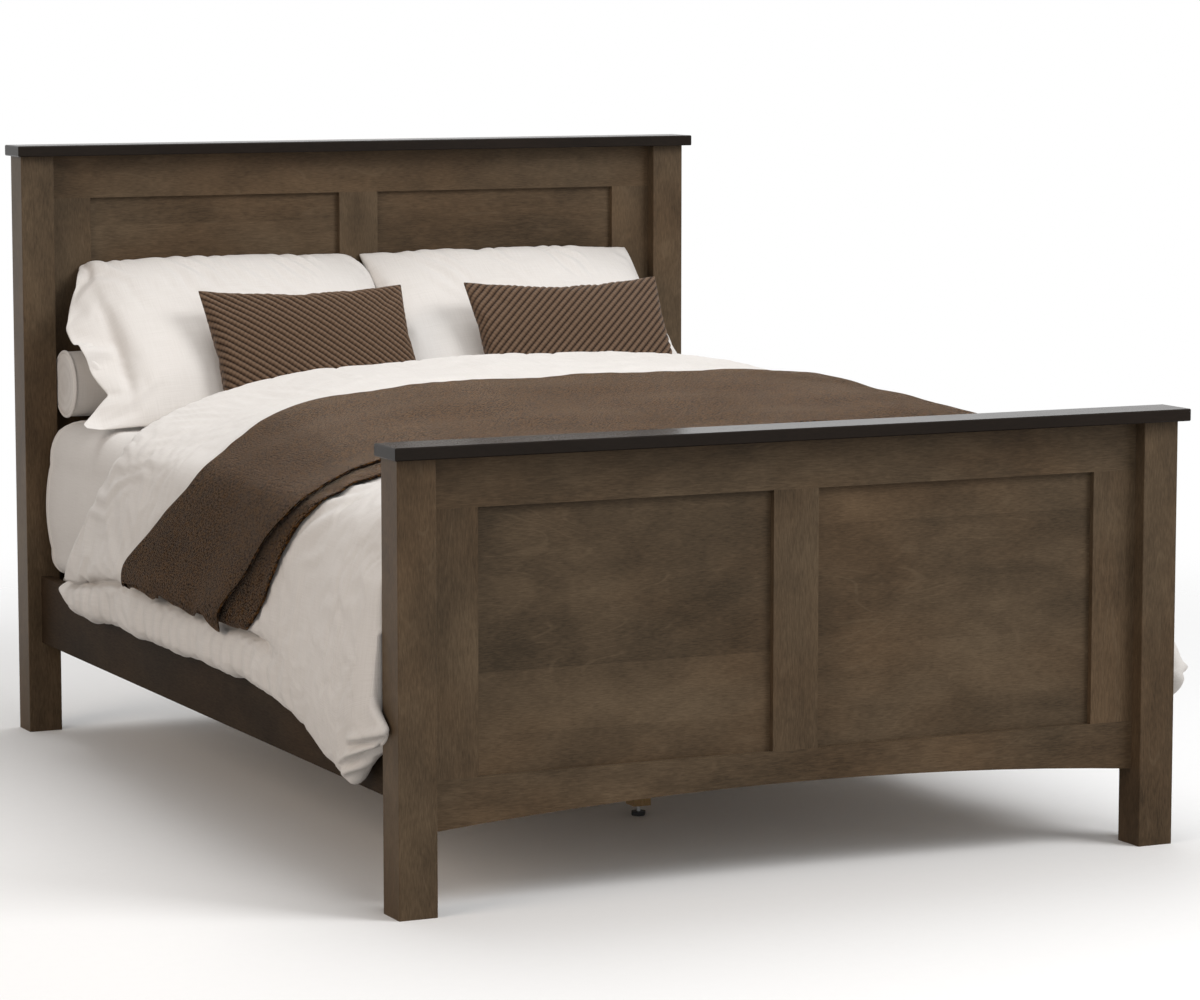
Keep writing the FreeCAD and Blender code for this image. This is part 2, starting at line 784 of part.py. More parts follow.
def leaning(solid, x, y, lean):
    """Cushion tipped back by a lean in degrees and set down on the mattress."""
    tipped = solid.copy()
    tipped.rotate(Vector(0, 0, 0), x_axis, -lean)
    tipped.translate(Vector(x, y, cushion_foot(lean)))
    return tipped


def cushion_foot(lean):
    """Height of a leaning cushion's lower seam line."""
    return mattress_top + soft_clearance + cushion_seam / 2 * math.sin(math.radians(lean))


def bow_radius(height, thickness):
    """Radius of a cushion's bowed face."""
    rise = (thickness - cushion_seam) / 2
    return ((height / 2) ** 2 + rise**2) / (2 * rise)


def bow_centre(height, thickness, lean, face):
    """Centre (Y, Z) of a leaning cushion's bowed face, its foot at Y 0; face is 1 in front and -1 behind."""
    turn = math.radians(lean)
    depth = face * (thickness / 2 - bow_radius(height, thickness))
    y = height / 2 * math.sin(turn) - depth * math.cos(turn)
    z = cushion_foot(lean) + height / 2 * math.cos(turn) + depth * math.sin(turn)
    return y, z


def y_in_front(height_apart, radius, other_radius):
    """How far the centre of one round face stands before another when the faces just clear each other."""
    return math.sqrt((radius + other_radius + soft_clearance) ** 2 - height_apart**2)


def bolster():
    """Round bolster along the headboard, with a piped rim at each flat end."""
    half = post_inner_x - bolster_end_gap
    body = Part.makeCylinder(bolster_radius - bolster_piping / 2, 2 * half, Vector(0, 0, -half))
    for z in (-half, half - bolster_piping):
        body = body.fuse(Part.makeCylinder(bolster_radius, bolster_piping, Vector(0, 0, z)))
    return pointed(body.removeSplitter(), Vector(0, bolster_y, bolster_z), x_axis)


# Where the bolster and the leaning cushions stand
bolster_radius = bolster_diameter / 2
bolster_y = head_frame_y - soft_clearance - bolster_radius
bolster_z = mattress_top + soft_clearance + bolster_radius
pillow_x = (pillow_width + pillow_spacing) / 2
pillow_bow = bow_radius(pillow_height, pillow_thickness)
pillow_back_y, pillow_back_z = bow_centre(pillow_height, pillow_thickness, pillow_lean, -1)
pillow_off_bolster = y_in_front(pillow_back_z - bolster_z, pillow_bow, bolster_radius)
pillow_run = pillow_height * math.sin(math.radians(pillow_lean)) + cushion_seam / 2
pillow_y = min(bolster_y - pillow_off_bolster - pillow_back_y, head_frame_y - soft_clearance - pillow_run)
pillow_front_y, pillow_front_z = bow_centre(pillow_height, pillow_thickness, pillow_lean, 1)
lumbar_bow = bow_radius(lumbar_height, lumbar_thickness)
lumbar_back_y, lumbar_back_z = bow_centre(lumbar_height, lumbar_thickness, lumbar_lean, -1)
lumbar_off_pillow = y_in_front(lumbar_back_z - pillow_front_z, lumbar_bow, pillow_bow)
lumbar_y = pillow_y + pillow_front_y - lumbar_off_pillow - lumbar_back_y
lumbar_left_x = lumbar_left_shift - pillow_x
lumbar_right_x = pillow_x + lumbar_right_shift
cuff_y = lumbar_y - duvet_cuff_gap


def build_rails():
    """Side rails, cleats, hook hardware and every screw of theirs."""
    hooks, keepers, hook_screws, keeper_screws = [], [], [], []
    for side, word in ((-1, "left"), (1, "right")):
        save(word + "_side_rail", side_rail(side))
        save(word + "_cleat", cleat(side))
        for y, direction in ((foot_back_y, -1), (head_front_y, 1)):
            x = side * rail_mid_x
            hooks.append(hook_plate(x, y, direction))
            keepers.append(keeper_plate(x, y, direction))
            hook_screws += plate_screws(x, y, -direction)
            keeper_screws += plate_screws(x, y, direction)
    save("rail_hook_plates", *hooks)
    save("post_keeper_plates", *keepers)
    save("hook_plate_screws", *hook_screws)
    save("keeper_plate_screws", *keeper_screws)
    save("cleat_screws", *cleat_screws(-1), *cleat_screws(1))


def build_slats():
    """Slats with their screws, and the legs with inserts and levelling feet under the inner ones."""
    legs = leg_places()
    for number, y in enumerate(slat_places(), 1):
        save(f"slat_{number}", slat(y, y in legs))
    save("slat_screws", *[one for y in slat_places() for one in slat_screws(y)])
    for number, y in enumerate(legs, 1):
        save(f"support_leg_{number}", support_leg(y))
        save(f"leveller_stud_{number}", leveller_stud(y))
        save(f"leveller_pad_{number}", leveller_pad(y))
    save("leg_inserts", *[leg_insert(y) for y in legs])
    save("leg_screws", *[leg_screw(y) for y in legs])


def build_bedding():
    """Foundation, mattress, duvet, throw, pillows, bolster and lumbar cushions."""
    save("foundation", foundation())
    save("mattress", mattress())
    save("duvet", duvet(duvet_envelope(0.0)))
    save("throw_blanket", throw_blanket())
    pillow = cushion(pillow_width, pillow_height, pillow_thickness)
    save("pillow_left", leaning(pillow, -pillow_x, pillow_y, pillow_lean))
    save("pillow_right", leaning(pillow, pillow_x, pillow_y, pillow_lean))
    save("bolster", bolster())
    lumbar = cushion(lumbar_width, lumbar_height, lumbar_thickness)
    save("lumbar_cushion_left", leaning(lumbar, lumbar_left_x, lumbar_y, lumbar_lean))
    save("lumbar_cushion_right", leaning(lumbar, lumbar_right_x, lumbar_y, lumbar_lean))


os.makedirs("parts", exist_ok=True)
head_bottom_rail = (head_bottom_rail_height, head_bottom_rail_height + head_bottom_rail_width)
arched_rail = (arched_rail_end, arched_rail_top)
build_end("head", head_front_y, head_post_height, head_bottom_rail, "_bottom_rail", 0.0, head_front_y, 1)
build_end("foot", foot_front_y, foot_post_height, arched_rail, "_arched_rail", arch_rise, foot_back_y, -1)
build_rails()
build_slats()
build_bedding()
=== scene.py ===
"""Looks of a made-up queen-size mission bed: stained timber, hardware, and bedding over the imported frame.

Lengths are metres in the part's own frame: +Z up, +Y from the foot to the head, origin on the floor in the
middle.
"""
import logging
import math
from dataclasses import dataclass, field
from enum import Enum

import bmesh
import bpy
import numpy as np
from mathutils import Euler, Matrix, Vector


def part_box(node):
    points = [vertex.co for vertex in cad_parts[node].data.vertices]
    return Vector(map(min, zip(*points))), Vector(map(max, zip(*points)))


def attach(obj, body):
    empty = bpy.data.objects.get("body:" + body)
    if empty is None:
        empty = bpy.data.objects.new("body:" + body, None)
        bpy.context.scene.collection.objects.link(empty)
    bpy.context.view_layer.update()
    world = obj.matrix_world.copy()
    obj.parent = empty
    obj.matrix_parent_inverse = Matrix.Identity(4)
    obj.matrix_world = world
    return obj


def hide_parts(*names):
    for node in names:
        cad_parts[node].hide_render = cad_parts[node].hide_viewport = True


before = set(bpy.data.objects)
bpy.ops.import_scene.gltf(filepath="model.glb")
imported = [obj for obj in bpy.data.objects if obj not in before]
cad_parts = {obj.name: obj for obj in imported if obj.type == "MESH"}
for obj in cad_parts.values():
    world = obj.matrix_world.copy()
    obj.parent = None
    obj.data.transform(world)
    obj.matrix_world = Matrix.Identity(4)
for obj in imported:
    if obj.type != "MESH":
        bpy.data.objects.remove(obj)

LOG = logging.getLogger("mission_bed")
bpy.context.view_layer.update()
MAIN_BODY = "frame"
FLAT_MAP = "flat"
FAR = 10.0

Array = np.ndarray
Colour = tuple[float, float, float]


def srgb(red: float, green: float, blue: float) -> Colour:
    """Linear colour of an 8-bit screen colour."""
    def linear(level: float) -> float:
        """Linear level of one channel."""
        share = level / 255.0
        return share / 12.92 if share <= 0.04045 else ((share + 0.055) / 1.055) ** 2.4
    return linear(red), linear(green), linear(blue)


class Axis(Enum):
    """Direction that a board's grain runs in."""
    X = 0
    Y = 1
    Z = 2


# Shader building


class Term:
    """One value socket that takes part in Python arithmetic by adding Math nodes."""

    def __init__(self, tree: bpy.types.NodeTree, socket: bpy.types.NodeSocket) -> None:
        """Wraps a socket of a tree."""
        self.tree = tree
        self.socket = socket

    def _math(self, operation: str, first: "Term | float", second: "Term | float") -> "Term":
        """Math node of an operation on two values.

        Args:
            operation: The node's operation.
            first: Left value.
            second: Right value.

        Returns:
            The node's result.
        """
        node = self.tree.nodes.new("ShaderNodeMath")
        node.operation = operation
        for place, value in zip(node.inputs, (first, second)):
            if isinstance(value, Term):
                self.tree.links.new(value.socket, place)
            else:
                place.default_value = value
        return Term(self.tree, node.outputs[0])

    def __add__(self, other: "Term | float") -> "Term":
        """Sum."""
        return self._math("ADD", self, other)

    __radd__ = __add__

    def __mul__(self, other: "Term | float") -> "Term":
        """Product."""
        return self._math("MULTIPLY", self, other)

    __rmul__ = __mul__

    def __sub__(self, other: "Term | float") -> "Term":
        """Difference."""
        return self._math("SUBTRACT", self, other)

    def __rsub__(self, other: float) -> "Term":
        """Difference from a number."""
        return self._math("SUBTRACT", other, self)

    def __truediv__(self, other: "Term | float") -> "Term":
        """Quotient."""
        return self._math("DIVIDE", self, other)

    def __pow__(self, other: float) -> "Term":
        """Power."""
        return self._math("POWER", self, other)

    def sibling(self, output: str) -> "Term":
        """Another output of the node that this value comes from."""
        return Term(self.tree, self.socket.node.outputs[output])

    def floor(self) -> "Term":
        """Whole part."""
        return self._math("FLOOR", self, 0.0)

    def sine(self) -> "Term":
        """Sine of the value in radians."""
        return self._math("SINE", self, 0.0)

    def size(self) -> "Term":
        """Value without its sign."""
        return self._math("ABSOLUTE", self, 0.0)


class Recipe:
    """A procedural material under construction."""

    def __init__(self, name: str) -> None:
        """Starts an empty material."""
        self.material = bpy.data.materials.new(name)
        self.material.use_nodes = True
        self.tree = self.material.node_tree
        self.tree.nodes.clear()

    def add(
        self, kind: str, settings: dict | None = None, inputs: dict | None = None, output: int | str = 0,
    ) -> Term:
        """Any node, its settings set first and its sockets next.

        Args:
            kind: Node type without the leading "ShaderNode".
            settings: Node properties; "stops" holds a colour ramp's (position, colour) pairs.
            inputs: Socket name or index to a Term or a constant.
            output: The output that is returned.

        Returns:
            The chosen output.
        """
        node = self.tree.nodes.new("ShaderNode" + kind)
        for key, value in (settings or {}).items():
            if key == "stops":
                self._stops(node.color_ramp, value)
            else:
                setattr(node, key, value)
        for key, value in (inputs or {}).items():
            place = node.inputs[key]
            if isinstance(value, Term):
                self.tree.links.new(value.socket, place)
            else:
                place.default_value = value
        return Term(self.tree, node.outputs[output])

    @staticmethod
    def _stops(ramp: bpy.types.ColorRamp, stops: list[tuple[float, Colour]]) -> None:
        """Writes a ramp's stops."""
        while len(ramp.elements) < len(stops):
            ramp.elements.new(1.0)
        for element, (place, colour) in zip(ramp.elements, stops):
            element.position = place
            element.color = (*colour, 1.0)

    def place(self) -> Term:
        """Position on the piece in metres."""
        return self.add("TexCoord", output="Object")

    def flat(self) -> Term:
        """Position on the cloth's flat cut in metres."""
        return self.add("UVMap", {"uv_map": FLAT_MAP})

    def scaled(self, vector: Term, factors: tuple[float, float, float], shift: float = 0.0) -> Term:
        """Vector with each axis multiplied by a factor, then shifted."""
        values = {"Vector": vector, "Scale": factors, "Location": (shift, shift, shift)}
        return self.add("Mapping", inputs=values)

    def noise(
        self, vector: Term, scale: float, detail: float = 3.0, rough: float = 0.55, twist: float = 0.0,
    ) -> Term:
        """Noise value from 0 to 1."""
        values = {"Vector": vector, "Scale": scale, "Detail": detail, "Roughness": rough, "Distortion": twist}
        return self.add("TexNoise", inputs=values)

    def ramp(self, value: Term, stops: list[tuple[float, Colour]]) -> Term:
        """Colour ramp of a value."""
        return self.add("ValToRGB", {"stops": stops}, {"Fac": value})

    def step(self, value: Term, low: float, high: float) -> Term:
        """Value stretched so that low becomes 0 and high becomes 1, held between them."""
        values = {"Value": value, "From Min": low, "From Max": high}
        return self.add("MapRange", {"interpolation_type": "SMOOTHSTEP", "clamp": True}, values)

    def mix(
        self, factor: Term | float, first: Term | Colour, second: Term | Colour, blend: str = "MIX",
    ) -> Term:
        """Mix of two colours."""
        settings = {"data_type": "RGBA", "blend_type": blend}
        ends = [v if isinstance(v, Term) else (*v, 1.0) for v in (first, second)]
        return self.add("Mix", settings, {0: factor, 6: ends[0], 7: ends[1]}, output=2)

    def bump(self, height: Term, strength: float, distance: float) -> Term:
        """Surface normal of a height."""
        return self.add("Bump", inputs={"Height": height, "Strength": strength, "Distance": distance})

    def surface(self, inputs: dict) -> bpy.types.Material:
        """Closes the recipe with a principled surface of these sockets."""
        shader = self.add("BsdfPrincipled", inputs=inputs)
        out = self.tree.nodes.new("ShaderNodeOutputMaterial")
        self.tree.links.new(shader.socket, out.inputs["Surface"])
        return self.material


@dataclass(frozen=True)
class StainedWood:
    """Close-grained hardwood under a brown stain and satin lacquer."""
    name: str
    grain: Axis
    dark: Colour = srgb(62, 52, 40)
    middle: Colour = srgb(86, 72, 56)
    light: Colour = srgb(106, 90, 71)
    board: float = 0.0
    gloss: float = 0.4
    shine: float = 0.1
    shift: float = 0.0

    def material(self) -> bpy.types.Material:
        """Noise drawn out along the board: blotches, short fibres, flame lines and glued staves."""
        r = Recipe(self.name)
        place = r.place()
        cloud = r.noise(self.drawn(r, place, 0.45), 6.0, 5.0, 0.62, 0.5)
        blotch = r.noise(self.drawn(r, place, 0.6), 15.0, 3.0, 0.55, 0.4)
        fibre = r.noise(self.drawn(r, place, 0.14), 430.0, 2.0, 0.6)
        pores = r.noise(self.drawn(r, place, 0.05), 900.0, 1.0, 0.5)
        figure = r.noise(self.drawn(r, place, 0.2), 8.0, 2.0, 0.5, 0.5)
        warm = r.step(r.noise(self.drawn(r, place, 0.5), 3.6, 3.0, 0.5), 0.4, 0.64)
        tone = 0.44 * cloud + 0.22 * blotch + 0.34 * fibre
        if self.board:
            parts = r.add("SeparateXYZ", inputs={"Vector": place})
            number = (parts.sibling("Z") / self.board + 0.3).floor()
            half = (parts.sibling("X") + 3.0).floor()
            stave = r.add("TexWhiteNoise", {"noise_dimensions": "1D"}, {"W": number + 17.0 * half})
            tone = tone + 0.10 * (stave - 0.5)
        colour = r.ramp(tone, [(0.34, self.dark), (0.5, self.middle), (0.67, self.light)])
        colour = r.mix(0.6 * warm, colour, (1.09, 0.97, 0.87), "MULTIPLY")
        flame = r.step((figure * 75.0).sine(), 0.86, 1.0) * r.step(blotch, 0.48, 0.62)
        colour = r.mix(0.32 * flame, colour, self.light)
        streak = r.step(pores, 0.56, 0.74)
        colour = r.mix(0.30 * streak, colour, tuple(0.55 * c for c in self.dark))
        return r.surface({
            "Base Color": colour,
            "Roughness": self.gloss + 0.12 * (cloud - 0.5) + 0.05 * streak,
            "Normal": r.bump(fibre * 0.5 + pores * 0.5, 0.14, 0.0006),
            "Specular IOR Level": self.shine,
        })

    def drawn(self, r: Recipe, place: Term, share: float) -> Term:
        """Position drawn out along the grain: the scale along it is a share of the scale across it."""
        factors = [1.0, 1.0, 1.0]
        factors[self.grain.value] = share
        return r.scaled(place, tuple(factors), self.shift)


@dataclass(frozen=True)
class Metal:
    """Plated or turned metal with fine brushing."""
    name: str
    colour: Colour
    rough: float

    def material(self) -> bpy.types.Material:
        """Metal whose roughness and tone vary with brushed noise."""
        r = Recipe(self.name)
        place = r.place()
        brush = r.noise(r.scaled(place, (40.0, 40.0, 900.0)), 1.0, 3.0)
        cloud = r.noise(place, 30.0, 2.0)
        colour = r.mix(cloud, tuple(0.8 * c for c in self.colour), self.colour)
        return r.surface({
            "Base Color": colour,
            "Roughness": self.rough + 0.2 * (brush - 0.5),
            "Metallic": 1.0,
            "Normal": r.bump(brush, 0.08, 0.0004),
        })


@dataclass(frozen=True)
class Nylon:
    """Matte moulded plastic."""
    name: str
    colour: Colour

    def material(self) -> bpy.types.Material:
        """Fine moulded grain on a dark base."""
        r = Recipe(self.name)
        grain = r.noise(r.place(), 900.0, 2.0)
        colour = r.mix(grain, tuple(0.7 * c for c in self.colour), tuple(1.3 * c for c in self.colour))
        return r.surface({
            "Base Color": colour,
            "Roughness": 0.5 + 0.2 * grain,
            "Normal": r.bump(grain, 0.15, 0.0003),
        })


@dataclass(frozen=True)
class Linen:
    """Soft pale cloth with slubbed yarns."""
    name: str
    colour: Colour = (0.76, 0.73, 0.70)
    shade: Colour = (0.66, 0.625, 0.59)
    thread: float = 0.0014

    def material(self) -> bpy.types.Material:
        """Plain weave from two sets of yarn waves, with slubs drawn out along each."""
        r = Recipe(self.name)
        flat = r.flat()
        across = r.noise(r.scaled(flat, (14.0, 520.0, 1.0)), 1.0, 2.0)
        down = r.noise(r.scaled(flat, (520.0, 14.0, 1.0)), 1.0, 2.0)
        parts = r.add("SeparateXYZ", inputs={"Vector": flat})
        turns = 2.0 * math.pi / self.thread
        warp = (parts * turns).sine()
        weft = (parts.sibling("Y") * turns).sine()
        weave = 0.5 + 0.25 * warp + 0.25 * weft
        cloud = r.noise(flat, 3.0, 2.0)
        slub = 0.5 * (across + down)
        tone = r.step(0.55 * slub + 0.2 * cloud + 0.25 * weave, 0.3, 0.62)
        colour = r.mix(tone, self.shade, self.colour)
        return r.surface({
            "Base Color": colour,
            "Roughness": 0.82 + 0.1 * slub,
            "Normal": r.bump(weave * 0.35 + slub * 0.65, 0.35, 0.0007),
            "Sheen Weight": 0.25,
            "Sheen Roughness": 0.45,
            "Specular IOR Level": 0.2,
        })


@dataclass(frozen=True)
class Tweed:
    """Thick flecked weave of the throw."""
    name: str
    dark: Colour = srgb(11, 6, 3)
    middle: Colour = srgb(27, 16, 7)
    light: Colour = srgb(92, 61, 25)
    pitch: float = 0.0060

    def material(self) -> bpy.types.Material:
        """Knotted yarn as cells of a cell pattern, each with its own tone, under fuzz and slow clouds."""
        r = Recipe(self.name)
        flat = r.flat()
        knots = r.scaled(flat, (1.0 / self.pitch, 1.6 / self.pitch, 1.0))
        cells = r.add("TexVoronoi", {"feature": "F1", "voronoi_dimensions": "2D"},
                      {"Vector": knots, "Scale": 1.0, "Randomness": 0.85})
        knob = 1.0 - cells
        fleck = r.add("TexWhiteNoise", {"noise_dimensions": "3D"}, {"Vector": cells.sibling("Color")})
        fuzz = r.noise(flat, 700.0, 3.0)
        cloud = r.noise(flat, 9.0, 3.0)
        tone = 0.44 * fleck + 0.36 * r.step(knob, 0.1, 0.9) + 0.12 * fuzz + 0.08 * cloud
        colour = r.ramp(tone, [(0.25, self.dark), (0.52, self.middle), (0.80, self.light)])
        return r.surface({
            "Base Color": colour,
            "Roughness": 0.88 + 0.1 * fuzz,
            "Normal": r.bump(knob * 0.8 + fuzz * 0.2, 0.9, 0.003),
            "Sheen Weight": 0.60,
            "Sheen Roughness": 0.15,
            "Sheen Tint": (0.84, 0.66, 0.52, 1.0),
            "Specular IOR Level": 0.08,
        })


@dataclass(frozen=True)
class Cord:
    """Ribbed cushion cloth, beaded along its ribs, with painted shade in the valleys between them."""
    name: str
    lean: float
    pitch: float
    # dark is the painted shade of the valleys between the ribs.
    dark: Colour = srgb(25, 17, 11)
    middle: Colour = srgb(80, 61, 46)
    light: Colour = srgb(116, 94, 76)

    def material(self) -> bpy.types.Material:
        """Tone that follows the ribs' backs and valleys, with beads and fuzz on them; the valleys are darkened
        as painted shade.
        """
        r = Recipe(self.name)
        flat = r.flat()
        turned = r.add("Mapping", inputs={"Vector": flat, "Rotation": (0.0, 0.0, -self.lean)})
        parts = r.add("SeparateXYZ", inputs={"Vector": turned})
        # back is 0 in the valleys and 1 on the ribs' backs; through the tone it paints shade into the valleys.
        back = (parts.sibling("Y") * (math.pi / self.pitch)).sine().size()
        beads = (parts * (math.pi / (0.62 * self.pitch))).sine().size()
        fuzz = r.noise(flat, 650.0, 3.0)
        yarn = r.noise(r.scaled(turned, (160.0, 900.0, 1.0)), 1.0, 2.0)
        tone = 0.56 * (back ** 0.8) + 0.12 * beads + 0.18 * yarn + 0.14 * fuzz
        colour = r.ramp(tone, [(0.24, self.dark), (0.56, self.middle), (0.88, self.light)])
        return r.surface({
            "Base Color": colour,
            "Roughness": 0.86 + 0.1 * fuzz,
            "Normal": r.bump(0.5 * beads + 0.5 * yarn, 0.6, 0.0016),
            "Sheen Weight": 0.12,
            "Sheen Roughness": 0.5,
            "Specular IOR Level": 0.15,
        })


# Surface building


def smooth(value: Array, low: float, high: float) -> Array:
    """Smooth step from 0 at low to 1 at high: 3t^2 - 2t^3 of the clipped share t."""
    share = np.clip((value - low) / (high - low), 0.0, 1.0)
    return share * share * (3.0 - 2.0 * share)


def spline_weights(share: Array) -> list[Array]:
    """Catmull-Rom weights of the four controls round a share from 0 to 1."""
    t, t2, t3 = share, share**2, share**3
    return [
        0.5 * (-t3 + 2 * t2 - t),
        0.5 * (3 * t3 - 5 * t2 + 2),
        0.5 * (-3 * t3 + 4 * t2 + t),
        0.5 * (t3 - t2),
    ]


def spline_table(table: Array, row: Array, column: Array) -> Array:
    """Catmull-Rom surface through a table of controls.

    Args:
        table: Controls, rows by columns by coordinates.
        row: Fractional row of each wanted point.
        column: Fractional column of each wanted point.

    Returns:
        Points, with the coordinates on the last axis.
    """
    rows, columns = table.shape[:2]
    r0 = np.clip(np.floor(row).astype(int), 0, rows - 2)
    c0 = np.clip(np.floor(column).astype(int), 0, columns - 2)
    across, down = spline_weights(column - c0), spline_weights(row - r0)
    result = np.zeros(row.shape + table.shape[2:])
    for a in range(4):
        ra = np.clip(r0 + a - 1, 0, rows - 1)
        for b in range(4):
            cb = np.clip(c0 + b - 1, 0, columns - 1)
            result += (down[a] * across[b])[..., None] * table[ra, cb]
    return result


def normals_of(points: Array) -> Array:
    """Unit normals of a grid: cross product of its differences along columns and rows."""
    normal = np.cross(np.gradient(points, axis=1), np.gradient(points, axis=0))
    return normal / np.maximum(np.linalg.norm(normal, axis=-1, keepdims=True), 1e-12)


def ripples(first: Array, second: Array, seed: int, wave: float, count: int = 7) -> Array:
    """Soft seeded noise: the mean of sine waves of about one wavelength in spread directions."""
    draw = np.random.default_rng(seed)
    total = np.zeros(np.broadcast(first, second).shape)
    for _ in range(count):
        turn = draw.uniform(0.0, math.pi)
        number = 2.0 * math.pi / (wave * draw.uniform(0.7, 1.5))
        total += np.sin(number * (math.cos(turn) * first + math.sin(turn) * second) + draw.uniform(0.0, 6.28))
    return total / math.sqrt(count)


def grid_faces(rows: int, columns: int, wrap: bool = False) -> Array:
    """Quads of a grid of vertices numbered row by row; wrap joins the last column to the first."""
    i, j = np.meshgrid(np.arange(rows - 1), np.arange(columns if wrap else columns - 1), indexing="ij")
    k = (j + 1) % columns
    near, far = i * columns, (i + 1) * columns
    return np.stack([near + j, near + k, far + k, far + j], -1).reshape(-1, 4)


def eased(fine: Array, places: tuple[float, ...], values: tuple[float, ...], width: int) -> Array:
    """Line through values at places, read at fine places and eased by a bell of a width in samples."""
    kernel = np.hanning(width) / np.hanning(width).sum()
    line = np.interp(fine, places, values)
    return np.convolve(np.pad(line, width // 2, mode="edge"), kernel, mode="valid")


def corner_vertices(mesh: bpy.types.Mesh) -> Array:
    """Vertex number at every face corner of a mesh."""
    corners = np.zeros(len(mesh.loops), dtype=np.int32)
    mesh.loops.foreach_get("vertex_index", corners)
    return corners


def make_piece(name: str, points: Array, faces: Array, flat: Array | None = None) -> bpy.types.Object:
    """Mesh object from arrays.

    Args:
        name: Object name.
        points: Vertices, n by 3.
        faces: Quads, m by 4.
        flat: Place of each vertex on the flat cut, n by 2.

    Returns:
        The linked object, smooth shaded, with its flat map if one is given.
    """
    mesh = bpy.data.meshes.new(name)
    mesh.from_pydata(points.reshape(-1, 3).tolist(), [], faces.tolist())
    if flat is not None:
        layer = mesh.uv_layers.new(name=FLAT_MAP)
        places = flat.reshape(-1, 2)[corner_vertices(mesh)]
        layer.data.foreach_set("uv", places.astype(np.float32).ravel())
    mesh.polygons.foreach_set("use_smooth", np.ones(len(mesh.polygons), dtype=bool))
    mesh.update()
    piece = bpy.data.objects.new(name, mesh)
    bpy.context.scene.collection.objects.link(piece)
    return piece


def two_sided(name: str, front: Array, back: Array, flat: Array) -> bpy.types.Object:
    """Closed piece of two grids that share their border, as two cloths sewn together.

    Args:
        name: Object name.
        front: Points of the outer side, rows by columns by 3.
        back: Points of the inner side; its border is taken from the front.
        flat: Place on the flat cut, rows by columns by 2.

    Returns:
        The closed piece, the front's vertices first.
    """
    rows, columns = front.shape[:2]
    index = np.arange(rows * columns).reshape(rows, columns)
    inner = index.copy()
    inner[1:-1, 1:-1] = rows * columns + np.arange((rows - 2) * (columns - 2)).reshape(rows - 2, columns - 2)
    faces = grid_faces(rows, columns)
    mirrored = inner.ravel()[faces][:, ::-1]
    points = np.concatenate([front.reshape(-1, 3), back[1:-1, 1:-1].reshape(-1, 3)])
    plan = np.concatenate([flat.reshape(-1, 2), flat[1:-1, 1:-1].reshape(-1, 2)])
    return make_piece(name, points, np.concatenate([faces, mirrored]), plan)


def merge_doubles(piece: bpy.types.Object, distance: float = 1e-5) -> None:
    """Joins vertices that coincide, and points all faces outwards."""
    work = bmesh.new()
    work.from_mesh(piece.data)
    bmesh.ops.remove_doubles(work, verts=work.verts, dist=distance)
    bmesh.ops.recalc_face_normals(work, faces=work.faces)
    work.to_mesh(piece.data)
    work.free()


def coordinates(mesh: bpy.types.Mesh) -> Array:
    """Vertices of a mesh, n by 3."""
    flat = np.zeros(len(mesh.vertices) * 3, dtype=np.float32)
    mesh.vertices.foreach_get("co", flat)
    return flat.reshape(-1, 3).astype(float)


def set_coordinates(mesh: bpy.types.Mesh, points: Array) -> None:
    """Writes a mesh's vertices."""
    mesh.vertices.foreach_set("co", points.astype(np.float32).ravel())
    mesh.update()


def subdivided(piece: bpy.types.Object, levels: int = 1) -> None:
    """Adds a subdivision surface with equal levels for view and render."""
    modifier = piece.modifiers.new("smooth", "SUBSURF")
    modifier.levels = modifier.render_levels = levels


@dataclass
class ClothRun:
    """Settings of one short cloth run, whose result becomes the mesh."""
    frames: int = 24
    pressure: float = 4.0
    tension: float = 15.0
    bending: float = 0.5
    grow: float = 0.0
    pins: Array | None = None
    pin_strength: float = 1.0
    quality: int = 6
    mass: float = 0.25
    damping: float = 2.0

    def apply(self, piece: bpy.types.Object) -> Array:
        """Runs the cloth on a piece.

        Args:
            piece: Object whose mesh is the cloth's rest shape.

        Returns:
            The vertices after the last frame; the piece's own mesh and modifiers stay as they were.
        """
        modifier = piece.modifiers.new("cloth", "CLOTH")
        settings = modifier.settings
        settings.quality = self.quality
        settings.mass = self.mass
        settings.air_damping = self.damping
        settings.tension_stiffness = settings.compression_stiffness = self.tension
        settings.shear_stiffness = self.tension / 3.0
        settings.bending_stiffness = self.bending
        settings.use_pressure = self.pressure != 0.0
        settings.uniform_pressure_force = self.pressure
        settings.effector_weights.gravity = 0.0
        settings.shrink_min = -self.grow
        modifier.collision_settings.use_collision = False
        group = None
        if self.pins is not None:
            group = piece.vertex_groups.new(name="held")
            levels = np.round(np.clip(self.pins, 0.0, 1.0), 2)
            for level in np.unique(levels):
                group.add(np.nonzero(levels == level)[0].tolist(), float(level), "REPLACE")
            settings.vertex_group_mass = group.name
            settings.pin_stiffness = self.pin_strength
        scene = bpy.context.scene
        for number in range(1, self.frames + 1):
            scene.frame_set(number)
        shown = piece.evaluated_get(bpy.context.evaluated_depsgraph_get())
        result = coordinates(shown.data)
        piece.modifiers.remove(modifier)
        if group is not None:
            piece.vertex_groups.remove(group)
        scene.frame_set(1)
        return result


def settle(piece: bpy.types.Object, body: str, slot: str, material: bpy.types.Material, *nodes: str) -> None:
    """Dresses a finished piece and puts it on its body in place of its CAD solids."""
    piece.data.materials.clear()
    piece.data.materials.append(material)
    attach(piece, body)
    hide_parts(*nodes)
    LOG.info("%s: %d faces on %s", piece.name, len(piece.data.polygons), body)


# Sub-assemblies


